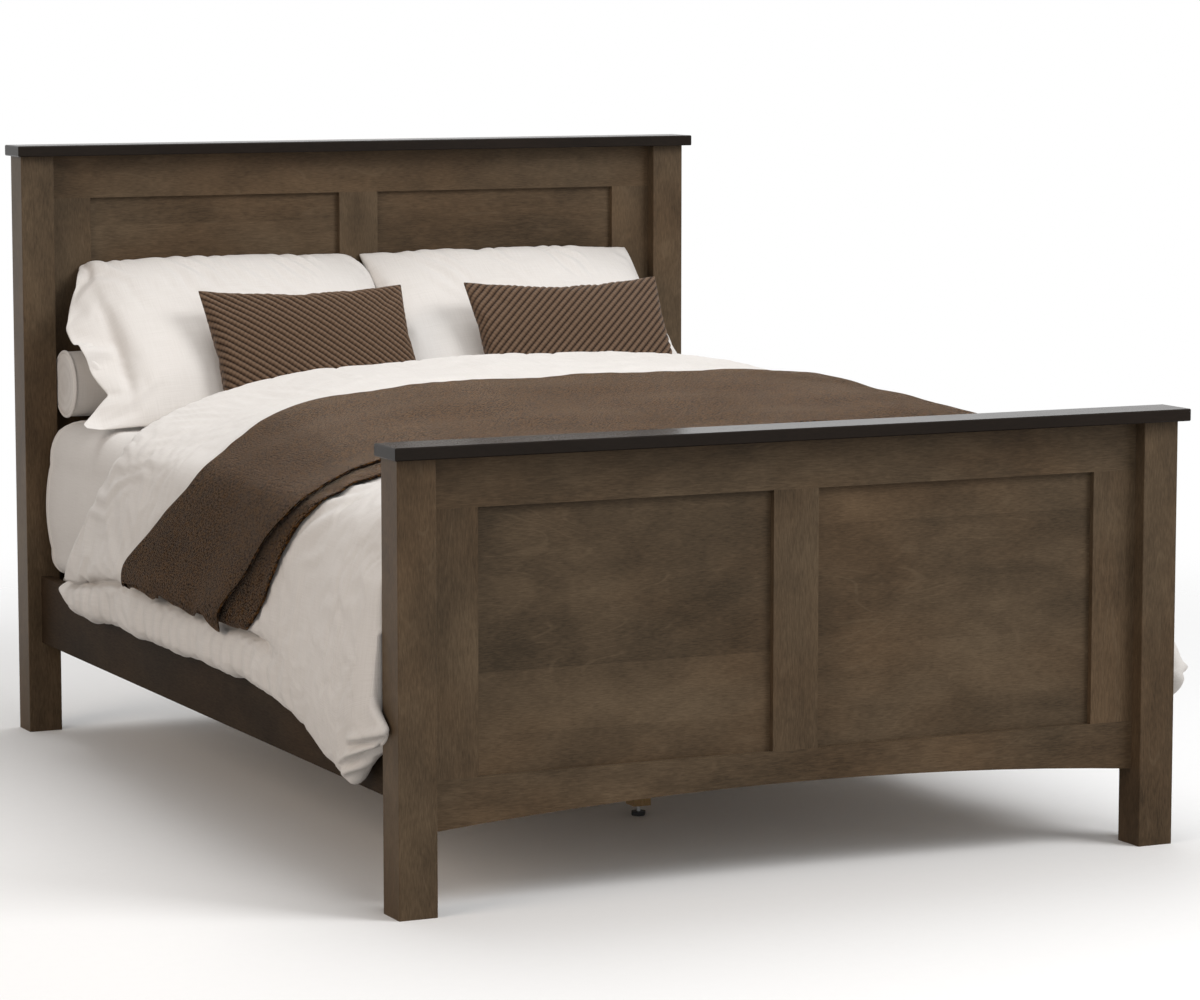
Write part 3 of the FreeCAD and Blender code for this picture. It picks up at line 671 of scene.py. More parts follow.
@dataclass
class Timber:
    """Every wooden CAD board, grouped by the way its grain runs."""
    ends: tuple[str, str] = ("head", "foot")
    uprights: tuple[str, ...] = ("post_left", "post_right", "left_stile", "right_stile", "mid_stile")
    panel_stave: float = 0.118

    def dress(self) -> None:
        """Gives each board its stained, capped or bare finish along its own grain; the side rails' stain is
        darkened further as painted shade.
        """
        cap_tones = {"dark": srgb(25, 20, 16), "middle": srgb(31, 25, 20), "light": srgb(37, 30, 25)}
        bare_tones = {"dark": srgb(176, 140, 96), "middle": srgb(199, 165, 120), "light": srgb(214, 184, 142)}
        upright = StainedWood("stained_upright", Axis.Z, shift=1.7).material()
        level = StainedWood("stained_level", Axis.X, shift=4.1).material()
        # The side rails' tones are much darker than the other stained boards: painted shade for the shade they
        # lie in under the hanging duvet.
        rail_shaded_tones = {"dark": srgb(38, 30, 22), "middle": srgb(52, 42, 32), "light": srgb(65, 53, 41)}
        rail = StainedWood("stained_rail_painted_shade", Axis.Y, gloss=0.55, shine=0.03, shift=2.3, **rail_shaded_tones).material()
        panel = StainedWood("stained_panel", Axis.X, board=self.panel_stave, shift=7.9).material()
        cap = StainedWood("stained_cap", Axis.X, gloss=0.22, shine=0.10, shift=9.2, **cap_tones).material()
        bare = {a: StainedWood("bare_" + a.name.lower(), a, gloss=0.6, **bare_tones).material() for a in Axis}
        for end in self.ends:
            self.assign(upright, *[f"{end}_{word}" for word in self.uprights])
            self.assign(level, end + "_top_rail")
            self.assign(panel, end + "_left_panel", end + "_right_panel")
            self.assign(cap, end + "_cap")
            self.assign(bare[Axis.Z], end + "_cap_dowels")
        self.assign(level, "head_bottom_rail", "foot_arched_rail")
        self.assign(rail, "left_side_rail", "right_side_rail")
        self.assign(bare[Axis.Y], "left_cleat", "right_cleat")
        self.assign(bare[Axis.X], *[f"slat_{n}" for n in range(1, 6)])
        self.assign(bare[Axis.Z], *[f"support_leg_{n}" for n in range(1, 4)])

    @staticmethod
    def assign(material: bpy.types.Material, *nodes: str) -> None:
        """Puts a material on CAD nodes."""
        for node in nodes:
            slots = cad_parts[node].data.materials
            slots.clear()
            slots.append(material)


@dataclass
class Hardware:
    """Plates, screws, studs, inserts and pads of the frame."""
    steel_nodes: tuple[str, ...] = (
        "rail_hook_plates", "post_keeper_plates", "hook_plate_screws", "keeper_plate_screws",
        "cleat_screws", "slat_screws", "leg_screws", "leveller_stud_1", "leveller_stud_2", "leveller_stud_3",
    )

    def dress(self) -> None:
        """Zinc-plated steel, brass inserts and black nylon."""
        Timber.assign(Metal("zinc_steel", (0.55, 0.55, 0.54), 0.38).material(), *self.steel_nodes)
        Timber.assign(Metal("turned_brass", (0.70, 0.53, 0.25), 0.3).material(), "leg_inserts")
        pads = [f"leveller_pad_{n}" for n in range(1, 4)]
        Timber.assign(Nylon("black_nylon", (0.035, 0.035, 0.037)).material(), *pads)


@dataclass
class SoftBlock:
    """Upholstered block with bulging sides and round edges, such as a mattress in its fitted sheet."""
    name: str
    node: str
    slot: str
    bulge: float
    top_edge: float
    low_edge: float
    corner: float
    pucker: float
    seed: int = 3
    around: int = 420

    SKIN_GAP = 0.001
    LEAST_CORNER = 0.004
    UNDER_SHARES = (1.0, 0.7, 0.4, 0.2, 0.1)
    OVER_SHARES = (0.08, 0.2, 0.35, 0.52, 0.7, 0.86, 1.0)

    def outline(self, half_x: Array, half_y: Array, radius: Array) -> Array:
        """Rounded rectangles, one per row: a square core grown by its corner radius.

        The angle goes round in four quarters, each mostly spent near the corner; at every angle the core's
        border and the radius are added up.

        Args:
            half_x: Half width of each ring.
            half_y: Half length of each ring.
            radius: Corner radius of each ring.

        Returns:
            Ring points in plan, rings by places by 2.
        """
        share = np.linspace(0.0, 4.0, self.around, endpoint=False)
        side = np.floor(share)
        quarter = math.pi / 2.0
        angle = side * quarter + smooth(share - side, 0.40, 0.60) * quarter - quarter / 2.0
        core_x = np.maximum(half_x - radius, 0.0)[:, None]
        core_y = np.maximum(half_y - radius, 0.0)[:, None]
        direction = np.stack([np.cos(angle), np.sin(angle)], -1)
        square = direction / np.max(np.abs(direction), axis=-1, keepdims=True)
        x = core_x * square[None, :, 0] + radius[:, None] * direction[None, :, 0]
        y = core_y * square[None, :, 1] + radius[:, None] * direction[None, :, 1]
        return np.stack([x, y], -1)

    def build(self, material: bpy.types.Material) -> bpy.types.Object:
        """Rings from the middle of the underside, round the sides, to the middle of the top."""
        low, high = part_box(self.node)
        centre = (low + high) / 2.0
        half_x, half_y = (high.x - low.x) / 2.0, (high.y - low.y) / 2.0
        bottom, top = low.z + self.SKIN_GAP, high.z - self.SKIN_GAP
        turn = np.linspace(0.0, math.pi / 2.0, 9)
        under = np.array([[half_x * s, bottom] for s in self.UNDER_SHARES])
        lower = self.low_edge * (1 - np.stack([np.sin(turn), np.cos(turn)], -1)) + (self.bulge, bottom)
        wall = np.linspace(bottom + self.low_edge, top - self.top_edge, 16)[1:-1]
        share = (wall - wall[0]) / (wall[-1] - wall[0])
        side = np.stack([self.bulge * (1.0 - np.sin(math.pi * share) ** 0.8), wall], -1)
        upper = np.stack([self.top_edge * (1 - np.cos(turn)), top - self.top_edge * (1 - np.sin(turn))], -1)
        upper[:, 0] += self.bulge * np.cos(turn)
        over = np.array([[self.top_edge + (half_x - self.top_edge) * s, top] for s in self.OVER_SHARES])
        rings = np.concatenate([under, lower, side, upper, over])
        inset = np.minimum(rings[:, 0], half_x)
        ring_x, ring_y = half_x - inset, half_y - inset
        radius = np.minimum(np.maximum(self.corner - inset, self.LEAST_CORNER), ring_x)
        plan = self.outline(ring_x, ring_y, radius)
        points = np.concatenate([plan, np.repeat(rings[:, None, 1:], self.around, axis=1)], -1)
        points[..., :2] += np.array([centre.x, centre.y])
        outward = normals_of(points)
        wave = ripples(points[..., 0] + points[..., 1], points[..., 2] * 0.35, self.seed, 0.13)
        fine = ripples(points[..., 0] - points[..., 1], points[..., 2] * 0.5, self.seed + 1, 0.05)
        level = smooth(rings[:, 1], bottom + 0.02, bottom + 0.08)[:, None]
        points += outward * (self.pucker * level * (0.7 * wave + 0.3 * fine) - self.pucker)[..., None]
        belt = plan[len(rings) // 2]
        length = np.cumsum(np.linalg.norm(np.diff(belt, axis=0, append=belt[:1]), axis=-1))
        climb = np.concatenate([[0.0], np.cumsum(np.linalg.norm(np.diff(rings, axis=0), axis=-1))])
        flat = np.stack(np.meshgrid(climb, length, indexing="ij"), -1)
        piece = make_piece(self.name, points, grid_faces(len(rings), self.around, wrap=True), flat)
        merge_doubles(piece)
        settle(piece, MAIN_BODY, self.slot, material, self.node)
        return piece


@dataclass
class DuvetForm:
    """Outer and inner form of the duvet as sections across the bed.

    A section is a row of (x, z) controls in millimetres from the left hem (step -14), up the side (to step -8),
    over the crown (step 0) and down to the right hem (step 14). The crown, the sides and the hem's height are
    given at a few places along the bed; sections between are mixed from them, and a spline runs through them.
    """
    reach: int = 14
    first: float = -1.094
    last: float = 0.96
    count: int = 130

    TOP_PLACES = (-1.034, -0.90, -0.565, 0.0, 0.20, 0.35, 0.60)
    LEFT_TOP = (
        ((0, 764), (160, 763), (314, 758), (440, 748), (548, 735), (640, 717), (716, 692), (780, 644)),
        ((0, 792), (160, 790), (314, 784), (440, 774), (548, 762), (640, 748), (724, 729), (788, 687)),
        ((0, 812), (160, 811), (314, 806), (440, 797), (548, 784), (640, 766), (724, 737), (787, 692)),
        ((0, 841), (160, 840), (314, 835), (440, 823), (548, 800), (640, 769), (722, 735), (786, 692)),
        ((0, 845), (160, 843), (314, 837), (440, 823), (548, 799), (640, 768), (722, 735), (786, 692)),
        ((0, 857), (160, 854), (314, 844), (440, 826), (548, 800), (640, 768), (722, 736), (786, 692)),
        ((0, 866), (160, 862), (314, 850), (440, 831), (548, 804), (640, 771), (722, 738), (786, 692)),
    )
    RIGHT_TOP = (
        ((160, 763), (314, 760), (440, 754), (548, 746), (640, 734), (716, 714), (786, 668)),
        ((160, 793), (314, 792), (440, 788), (548, 781), (640, 770), (712, 752), (790, 704)),
        ((160, 814), (314, 816), (440, 815), (548, 811), (640, 803), (704, 790), (780, 746)),
        ((160, 841), (314, 841), (440, 839), (548, 834), (640, 825), (704, 811), (782, 765)),
        ((160, 845), (314, 845), (440, 843), (548, 838), (640, 829), (704, 814), (782, 767)),
        ((160, 858), (314, 857), (440, 852), (548, 845), (640, 833), (704, 816), (782, 768)),
        ((160, 869), (314, 868), (440, 863), (548, 853), (640, 838), (704, 819), (782, 770)),
    )
    HEM_PLACES = (
        -1.09, -1.05, -1.01, -0.97, -0.935, -0.905, -0.88, -0.85, -0.80, -0.755, -0.70, -0.64,
        -0.57, -0.478, -0.35, -0.185, 0.27, 0.444, 0.60, 0.70, 0.75, 0.80, 0.92,
    )
    HEM_HEIGHTS = (
        334, 306, 286, 264, 240, 213, 220, 233, 242, 261, 282, 297,
        309, 319, 324, 325, 321, 316, 314, 312, 312, 330, 345,
    )
    FALL = (0.32, 0.545, 0.73, 0.92, 1.0)
    FOLD = (381, 45)
    ROLLED = (816, 833, 847, 816, 844, 848, 816)
    SMOOTH = (818, 835, 846, 851, 852, 846, 818)
    CORNER = (828, 847, 857, 861, 859, 848, 826)
    FOOT_TAPER = 10
    LEFT_SIDE = (606, 513)
    RIGHT_SIDE = (676, 566)
    RIGHT_BULGE = 18
    UNDERSIDE = 721.0
    UNDER_SHOULDER = ((700.0, 721.0), (757.0, 709.0), (801.5, 634.0))
    UNDER_SIDE = 802.5
    HEM_RAISE = (6.0, 10.0)
    RIGHT_LOBE = ((12, -8), (44, -24), (20, -34))

    def __post_init__(self) -> None:
        """Works out the control tables in metres and the length from the crown at every step."""
        self.stations = np.linspace(self.first, self.last, self.count)
        halves = ((self.LEFT_TOP, self.LEFT_SIDE), (self.RIGHT_TOP, self.RIGHT_SIDE))
        left, right = (self._joined(*self._half(top, side)) for top, side in halves)
        right[0][:, 9:13, 0] += self.RIGHT_BULGE * smooth(-self.stations, 0.4, 0.8)[:, None]
        lobe = np.array(self.RIGHT_LOBE) * smooth(-self.stations, 0.97, 1.05)[:, None, None]
        right[0][:, 12:] += lobe
        right[1][:, 12:, 1] += lobe[..., 1]
        mirror = np.array([-1.0, 1.0])
        self.outer_table, self.inner_table = (
            0.001 * np.concatenate([l[:, :0:-1] * mirror, r], axis=1) for l, r in zip(left, right)
        )
        self.steps = np.linspace(-self.reach, self.reach, 801)
        line = self.surface(self.outer_table, self.steps, np.full_like(self.steps, -0.05))
        length = np.concatenate([[0.0], np.cumsum(np.linalg.norm(np.diff(line, axis=0), axis=-1))])
        self.lengths = length - np.interp(0.0, self.steps, length)

    def _half(self, top: tuple, side: tuple) -> tuple[Array, Array]:
        """Top controls (stations by 8 by 2) and side controls (stations by 7 by 2) of one half."""
        middle = [row if len(row) == 8 else (self.LEFT_TOP[i][0],) + row for i, row in enumerate(top)]
        table = np.array(middle, dtype=float)
        y = self.stations
        upper = np.stack([
            np.stack([np.interp(y, self.TOP_PLACES, table[:, k, c]) for c in range(2)], -1) for k in range(8)
        ], axis=1)
        rolled = smooth(y, -0.62, -0.38)[:, None]
        corner = smooth(-y, 0.64, 0.88)[:, None]
        width = rolled * self.ROLLED + corner * self.CORNER + (1.0 - rolled - corner) * self.SMOOTH
        width[:, 1:] -= self.FOOT_TAPER * smooth(-y, 0.98, 1.035)[:, None]
        hem = np.interp(y, self.HEM_PLACES, self.HEM_HEIGHTS)[:, None]
        plain = side[1] - np.array(self.FALL) * (side[1] - hem)
        fold = (self.FOLD[0] + self.FOLD[1] * smooth(0.82 - y, 0.0, 0.45))[:, None]
        tucked = np.concatenate([fold + 18.0, fold, fold - 14.0, hem + 26.0, hem], axis=1)
        drop = rolled * tucked + (1.0 - rolled) * plain
        height = np.concatenate([np.repeat([side], y.size, axis=0), drop], axis=1)
        return upper, np.stack([width, height], -1)

    def _joined(self, upper: Array, side: Array) -> list[Array]:
        """Outer half-section and the inner one, which lies on the mattress and the rails."""
        outer = np.concatenate([upper, side], axis=1)
        inner = outer.copy()
        inner[:, :6, 1] = self.UNDERSIDE
        inner[:, 6:9] = self.UNDER_SHOULDER
        inner[:, 9:, 0] = self.UNDER_SIDE
        inner[:, 13:, 1] += self.HEM_RAISE
        return [outer, inner]

    def surface(self, table: Array, step: Array, y: Array) -> Array:
        """Points of a table at control steps and places along the bed."""
        row = np.interp(y, self.stations, np.arange(self.count))
        section = spline_table(table, row, step + self.reach)
        return np.stack([section[..., 0], y, section[..., 1]], -1)

    def step_of(self, length: Array) -> Array:
        """Control step at a signed length across from the crown."""
        return np.interp(length, self.lengths, self.steps)


@dataclass(frozen=True)
class Pleat:
    """One crease of a gathered corner: a valley along a line from (y, z) to (y, z), and a ridge above it."""
    start: tuple[float, float]
    end: tuple[float, float]
    depth: float
    width: float

    def height(self, y: Array, z: Array) -> Array:
        """Height over the plain form: two bells across the line, fading along its second half."""
        run = np.subtract(self.end, self.start)
        size = float(np.hypot(*run))
        along = ((y - self.start[0]) * run[0] + (z - self.start[1]) * run[1]) / size ** 2
        aside = ((z - self.start[1]) * run[0] - (y - self.start[0]) * run[1]) / (size * self.width)
        hold = smooth(along, -0.3, 0.0) * smooth(-along, -1.0, -0.5)
        return self.depth * hold * (0.7 * np.exp(-((aside - 1.7) ** 2) / 1.4) - np.exp(-(aside ** 2)))


@dataclass
class Duvet:
    """The duvet: crowned over the mattress, rolled under along the sides, with full corners at the foot."""
    form: DuvetForm
    spacing: float = 0.0102
    name: str = "duvet_cover"
    run: ClothRun = field(default_factory=lambda: ClothRun(14, 0.0, tension=8.0, bending=0.05, grow=0.018))
    throw: "Throw | None" = None
    hold: float = 0.16
    covered_hold: float = 0.95
    limit: float = 0.007
    run_along: float = 1.64
    post_clear: float = 0.0270

    PLEATS = (
        Pleat((-1.062, 0.326), (-0.925, 0.290), 0.017, 0.0080),
        Pleat((-1.035, 0.303), (-0.870, 0.238), 0.015, 0.0075),
        Pleat((-0.965, 0.252), (-0.880, 0.222), 0.007, 0.0070),
    )
    EDGE_STEPS = (0, 4, 5, 6, 7, 8, 9, 10, 11, 12, 13, 14)
    HEAD_EDGE = (0.600, 0.600, 0.588, 0.552, 0.510, 0.567, 0.670, 0.745, 0.800, 0.800, 0.748, 0.716)
    FOOT_EDGE = (-1.0365,) * 8 + (-1.038, -1.066, -1.092, -1.052)
    BROAD = 0.003
    LOBES = (0.0035, 0.0025)
    DRAG = 0.0024
    PULL = 0.003

    def __post_init__(self) -> None:
        """Lays out the grid: finer steps at the hems, the foot and the cuff."""
        low, high = float(self.form.lengths[0]), float(self.form.lengths[-1])
        fine = (0.0, 0.002, 0.006, *np.arange(0.011, 0.21, 0.005))
        cuff = (0.0, 0.002, 0.006, 0.012, 0.020, 0.029)
        self.across = low + self.graded(high - low, self.spacing, fine, fine)
        self.shares = self.graded(self.run_along, self.spacing, fine, cuff) / self.run_along
        self.front = np.zeros((self.shares.size, self.across.size, 3))

    def ends(self, length: Array) -> tuple[Array, Array]:
        """Foot and head edges along the bed, eased between the steps where they are given."""
        fine = np.linspace(0.0, float(self.form.reach), 281)
        step = np.abs(self.form.step_of(length))
        foot, head = (eased(fine, self.EDGE_STEPS, edge, 23) for edge in (self.FOOT_EDGE, self.HEAD_EDGE))
        return np.interp(step, fine, foot), np.interp(step, fine, head)

    def skin(self, length: Array, y: Array) -> tuple[Array, Array]:
        """Points and outward normals on the finished top side.

        Args:
            length: Signed length across from the crown.
            y: Place along the bed.

        Returns:
            Points of a spline through the finished grid, and normals from its differences over short steps.
        """
        def point(step_across: float, step_along: float) -> Array:
            """Point at a small step from the wanted place."""
            place = length + step_across
            foot, head = self.ends(place)
            row = np.interp((y + step_along - foot) / (head - foot), self.shares, np.arange(self.shares.size))
            column = np.interp(place, self.across, np.arange(self.across.size))
            return spline_table(self.front, row, column)
        step = 0.012
        normal = np.cross(point(step, 0.0) - point(-step, 0.0), point(0.0, step) - point(0.0, -step))
        return point(0.0, 0.0), normal / np.linalg.norm(normal, axis=-1, keepdims=True)

    @staticmethod
    def graded(total: float, spacing: float, first: tuple[float, ...], last: tuple[float, ...]) -> Array:
        """Places from 0 to total: given steps near both ends, even spacing between.

        Args:
            total: Whole length.
            spacing: Even spacing.
            first: Places near the start.
            last: Distances from the end, near it.

        Returns:
            Rising places.
        """
        low, high = first[-1], total - last[-1]
        count = max(int(round((high - low) / spacing)), 2)
        middle = np.linspace(low, high, count + 1)
        return np.concatenate([np.array(first[:-1]), middle, total - np.array(last[:-1])[::-1]])

    def build(self, material: bpy.types.Material) -> bpy.types.Object:
        """Two grids, over and under, that meet at a rounded rim.

        Half the distance between outer and inner form is taken in to nothing at the border by a quarter
        circle. The inner form keeps clear of the foot posts. Folds are added along the outer normals, then a
        short cloth run lets slightly larger cloth crease by itself.
        """
        length, along = np.meshgrid(self.across, self.shares, indexing="xy")
        foot, head = self.ends(length)
        y = foot + along * (head - foot)
        step = self.form.step_of(length)
        outer = self.form.surface(self.form.outer_table, step, y)
        inner = self.form.surface(self.form.inner_table, step, y)
        side_x = 0.001 * self.form.UNDER_SIDE
        beside_post = (self.post_clear * smooth(-y, 1.027, 1.037) + side_x) * smooth(np.abs(step), 8.0, 9.0)
        inner[..., 0] = np.sign(length) * np.maximum(np.abs(inner[..., 0]), beside_post)
        outer += normals_of(outer) * self.folds(length, y, outer)[..., None]
        middle, half = (outer + inner) / 2.0, (outer - inner) / 2.0
        size = np.maximum(np.linalg.norm(half, axis=-1), 1e-4)
        rim = np.ones_like(size)
        for distance in (length - self.across[0], self.across[-1] - length, y - foot, head - y):
            share_in = np.clip(distance / size, 0.0, 1.0)
            rim *= np.sqrt(1.0 - (1.0 - share_in) ** 2)
        front = middle + half * rim[..., None]
        back = middle - half * rim[..., None]
        flat = np.stack([length, y], -1)
        piece = two_sided(self.name, front, back, flat)
        self.crease(piece, length, y)
        self.front = coordinates(piece.data)[: front.shape[0] * front.shape[1]].reshape(front.shape)
        settle(piece, MAIN_BODY, "white_linen", material, "duvet")
        return piece

    def crease(self, piece: bpy.types.Object, length: Array, y: Array) -> None:
        """Cloth run on softly held cloth; only the top side keeps its creases, each within a limit."""
        start = coordinates(piece.data)
        top = self.front.shape[0] * self.front.shape[1]
        near_foot = smooth(self.ends(length)[0] - y, -0.06, -0.03)
        cover = np.maximum(self.throw.cover(length, y), near_foot).ravel()
        held = self.hold + (self.covered_hold - self.hold) * cover
        self.run.pins = np.concatenate([held, np.ones(len(start) - top)])
        move = self.run.apply(piece) - start
        size = np.maximum(np.linalg.norm(move, axis=-1, keepdims=True), 1e-9)
        LOG.info("duvet run: mean move %.4f, most %.4f", float(size.mean()), float(size.max()))
        kept = np.minimum(self.limit * np.tanh(size / self.limit) / size, 1.0)
        set_coordinates(piece.data, start + move * kept)

    def folds(self, length: Array, y: Array, outer: Array) -> Array:
        """Height of the folds over the plain form.

        Broad soft waves on the top; lobes along the rolled hem; drag lines at the head edge; gathers at the
        foot corners' tips; and pulls between the throw and the foot.
        """
        z = outer[..., 2]
        head = self.ends(length)[1]
        side = smooth(-z, -0.70, -0.45)
        broad = self.BROAD * ripples(length, y, 11, 0.42) * (1.0 - 0.5 * side)
        roll = smooth(-z, -0.405, -0.375) * smooth(y, -0.62, -0.40)
        lobes = self.LOBES[0] * ripples(y, 0.2 * length, 23, 0.26, 5)
        lobes = (lobes + self.LOBES[1] * ripples(y, 0.5 * length, 24, 0.07, 5)) * roll
        drag = np.sin((length + 0.30 * y) * 2.0 * math.pi / 0.040 + 2.2 * ripples(length, y, 5, 0.22))
        drag = self.DRAG * drag * smooth(y - head, -0.34, -0.03)
        drag *= smooth(np.abs(length), 0.40, 0.70) * (1.0 - roll)
        drag *= 0.55 + 0.45 * np.tanh(1.5 * ripples(length, y, 6, 0.16))
        gather = sum(pleat.height(y, z) for pleat in self.PLEATS)
        slant = (0.9 * length + 0.5 * y) * 2.0 * math.pi / 0.055
        pull = self.PULL * np.sin(slant + 1.5 * ripples(length, y, 31, 0.25))
        pull *= smooth(-y, 0.56, 0.62) * smooth(y, -0.80, -0.64)
        pull *= smooth(-z, -0.78, -0.72) * smooth(z, 0.56, 0.66)
        return broad + lobes + drag + gather + pull


@dataclass
class Throw:
    """Thick throw, folded double at its head side, laid across the duvet and hanging at both sides.

    Its edges on the left were picked in the photograph; on the right they are guessed.
    """
    thickness: float = 0.005
    layer: float = 0.0095
    lift: float = 0.007
    spacing: float = 0.016
    end: float = 1.072
    rows: int = 46
    breadth: float = 0.77
    wobble: float = 0.004
    softness: float = 0.0022
    gape: float = 0.010
    name: str = "folded_throw"

    HEAD_EDGE = (
        (-1.08, -0.628, -0.365, -0.138, 0.084, 0.26, 0.325, 0.406, 0.492, 0.590, 0.639, 0.715, 0.784, 0.841,
         0.902, 0.970, 1.021, 1.047, 1.08),
        (0.110, 0.115, 0.055, 0.072, 0.090, 0.066, 0.073, 0.098, 0.105, 0.076, 0.060, 0.009, -0.024, -0.002,
         0.095, 0.203, 0.281, 0.293, 0.290),
    )
    FOOT_EDGE = (
        (-1.08, -0.45, 0.0, 0.30, 0.45, 0.633, 0.683, 0.738, 0.790, 0.834, 0.898, 0.958, 1.030, 1.083),
        (-0.670, -0.705, -0.705, -0.675, -0.642, -0.572, -0.562, -0.579, -0.592, -0.569, -0.497, -0.431,
         -0.343, -0.262),
    )
    UNDER_EDGE = (
        (-1.08, -0.45, 0.0, 0.30, 0.45, 0.666, 0.704, 0.757, 0.803, 0.835, 0.921, 0.979, 1.038, 1.091),
        (-0.735, -0.775, -0.775, -0.750, -0.715, -0.645, -0.630, -0.640, -0.619, -0.590, -0.543, -0.502,
         -0.455, -0.370),
    )

    def edges(self, length: Array) -> tuple[Array, Array, Array]:
        """Head-side fold, upper foot edge and lower foot edge along the bed, over the length across.

        Each edge is a pair of rows: lengths across, positive to the left, and places along the bed. The throw
        lies straight over the crown and hangs straight on the right, and on the left it sweeps headward.
        """
        fine = np.linspace(-1.2, 1.2, 481)
        tables = (self.HEAD_EDGE, self.FOOT_EDGE, self.UNDER_EDGE)
        head, foot, under = (np.interp(-length, fine, eased(fine, *table, 13)) for table in tables)
        return head, foot, under

    def cover(self, length: Array, y: Array) -> Array:
        """Share from 0 to 1 by which a place on the duvet lies well under the throw."""
        head, foot, _ = self.edges(length)
        inside = smooth(y - foot, -0.06, 0.02) * smooth(head - y, -0.03, 0.03)
        return inside * smooth(1.09 - np.abs(length), -0.02, 0.03)

    def build(self, duvet: "Duvet", material: bpy.types.Material) -> bpy.types.Object:
        """One sheet from the lower layer's foot edge, round the fold at the head side, back over the top."""
        across = np.linspace(-self.end, self.end, int(2.0 * self.end / self.spacing))
        lower = np.linspace(0.0, 1.0, self.rows)
        turn = np.linspace(0.0, math.pi, 9)[1:-1]
        share = np.concatenate([lower, np.ones(len(turn)), lower[::-1]])
        height = np.concatenate([np.zeros(self.rows), (1.0 - np.cos(turn)) / 2.0, np.ones(self.rows)])
        bulge = np.concatenate([np.zeros(self.rows), np.sin(turn), np.zeros(self.rows)])
        length, run = np.meshgrid(across, share, indexing="xy")
        height, bulge = height[:, None], bulge[:, None]
        head, foot, under = self.edges(across)
        wobble = self.wobble * ripples(across, 0.0 * across, 41, 0.3)
        foot_line = (wobble + under)[None, :] * (1.0 - height) + (wobble + foot)[None, :] * height
        y = foot_line + run * (head[None, :] - foot_line) + 0.5 * self.layer * bulge
        stretch = 1.0 + 0.012 * (1.0 - height)
        uneven = ripples(y, 3.0 * height, 43, 0.13)
        stretch = stretch + 0.007 * smooth(np.abs(length), 0.98, self.end) * uneven
        base, normal = duvet.skin(length * stretch, y)
        soft = self.softness * ripples(length, y, 47, 0.22) * (0.4 + 0.6 * height)
        gape = self.gape * smooth(np.abs(length), 0.72, 1.0) * smooth(0.35 - run, 0.0, 0.35) * height
        offset = self.lift + self.layer * height + soft + gape
        points = base + normal * offset[..., None]
        gone = np.abs(np.diff(share)) + np.abs(np.diff(bulge[:, 0])) * 0.01
        along = np.concatenate([[0.0], np.cumsum(gone)]) * self.breadth
        flat = np.stack(np.meshgrid(across, along, indexing="xy"), -1)
        piece = make_piece(self.name, points, grid_faces(*points.shape[:2]), flat)
        solid = piece.modifiers.new("cloth_thickness", "SOLIDIFY")
        solid.thickness = self.thickness
        solid.offset = 0.0
        solid.use_rim = True
        subdivided(piece)
        settle(piece, MAIN_BODY, "brown_tweed", material, "throw_blanket")
        return piece


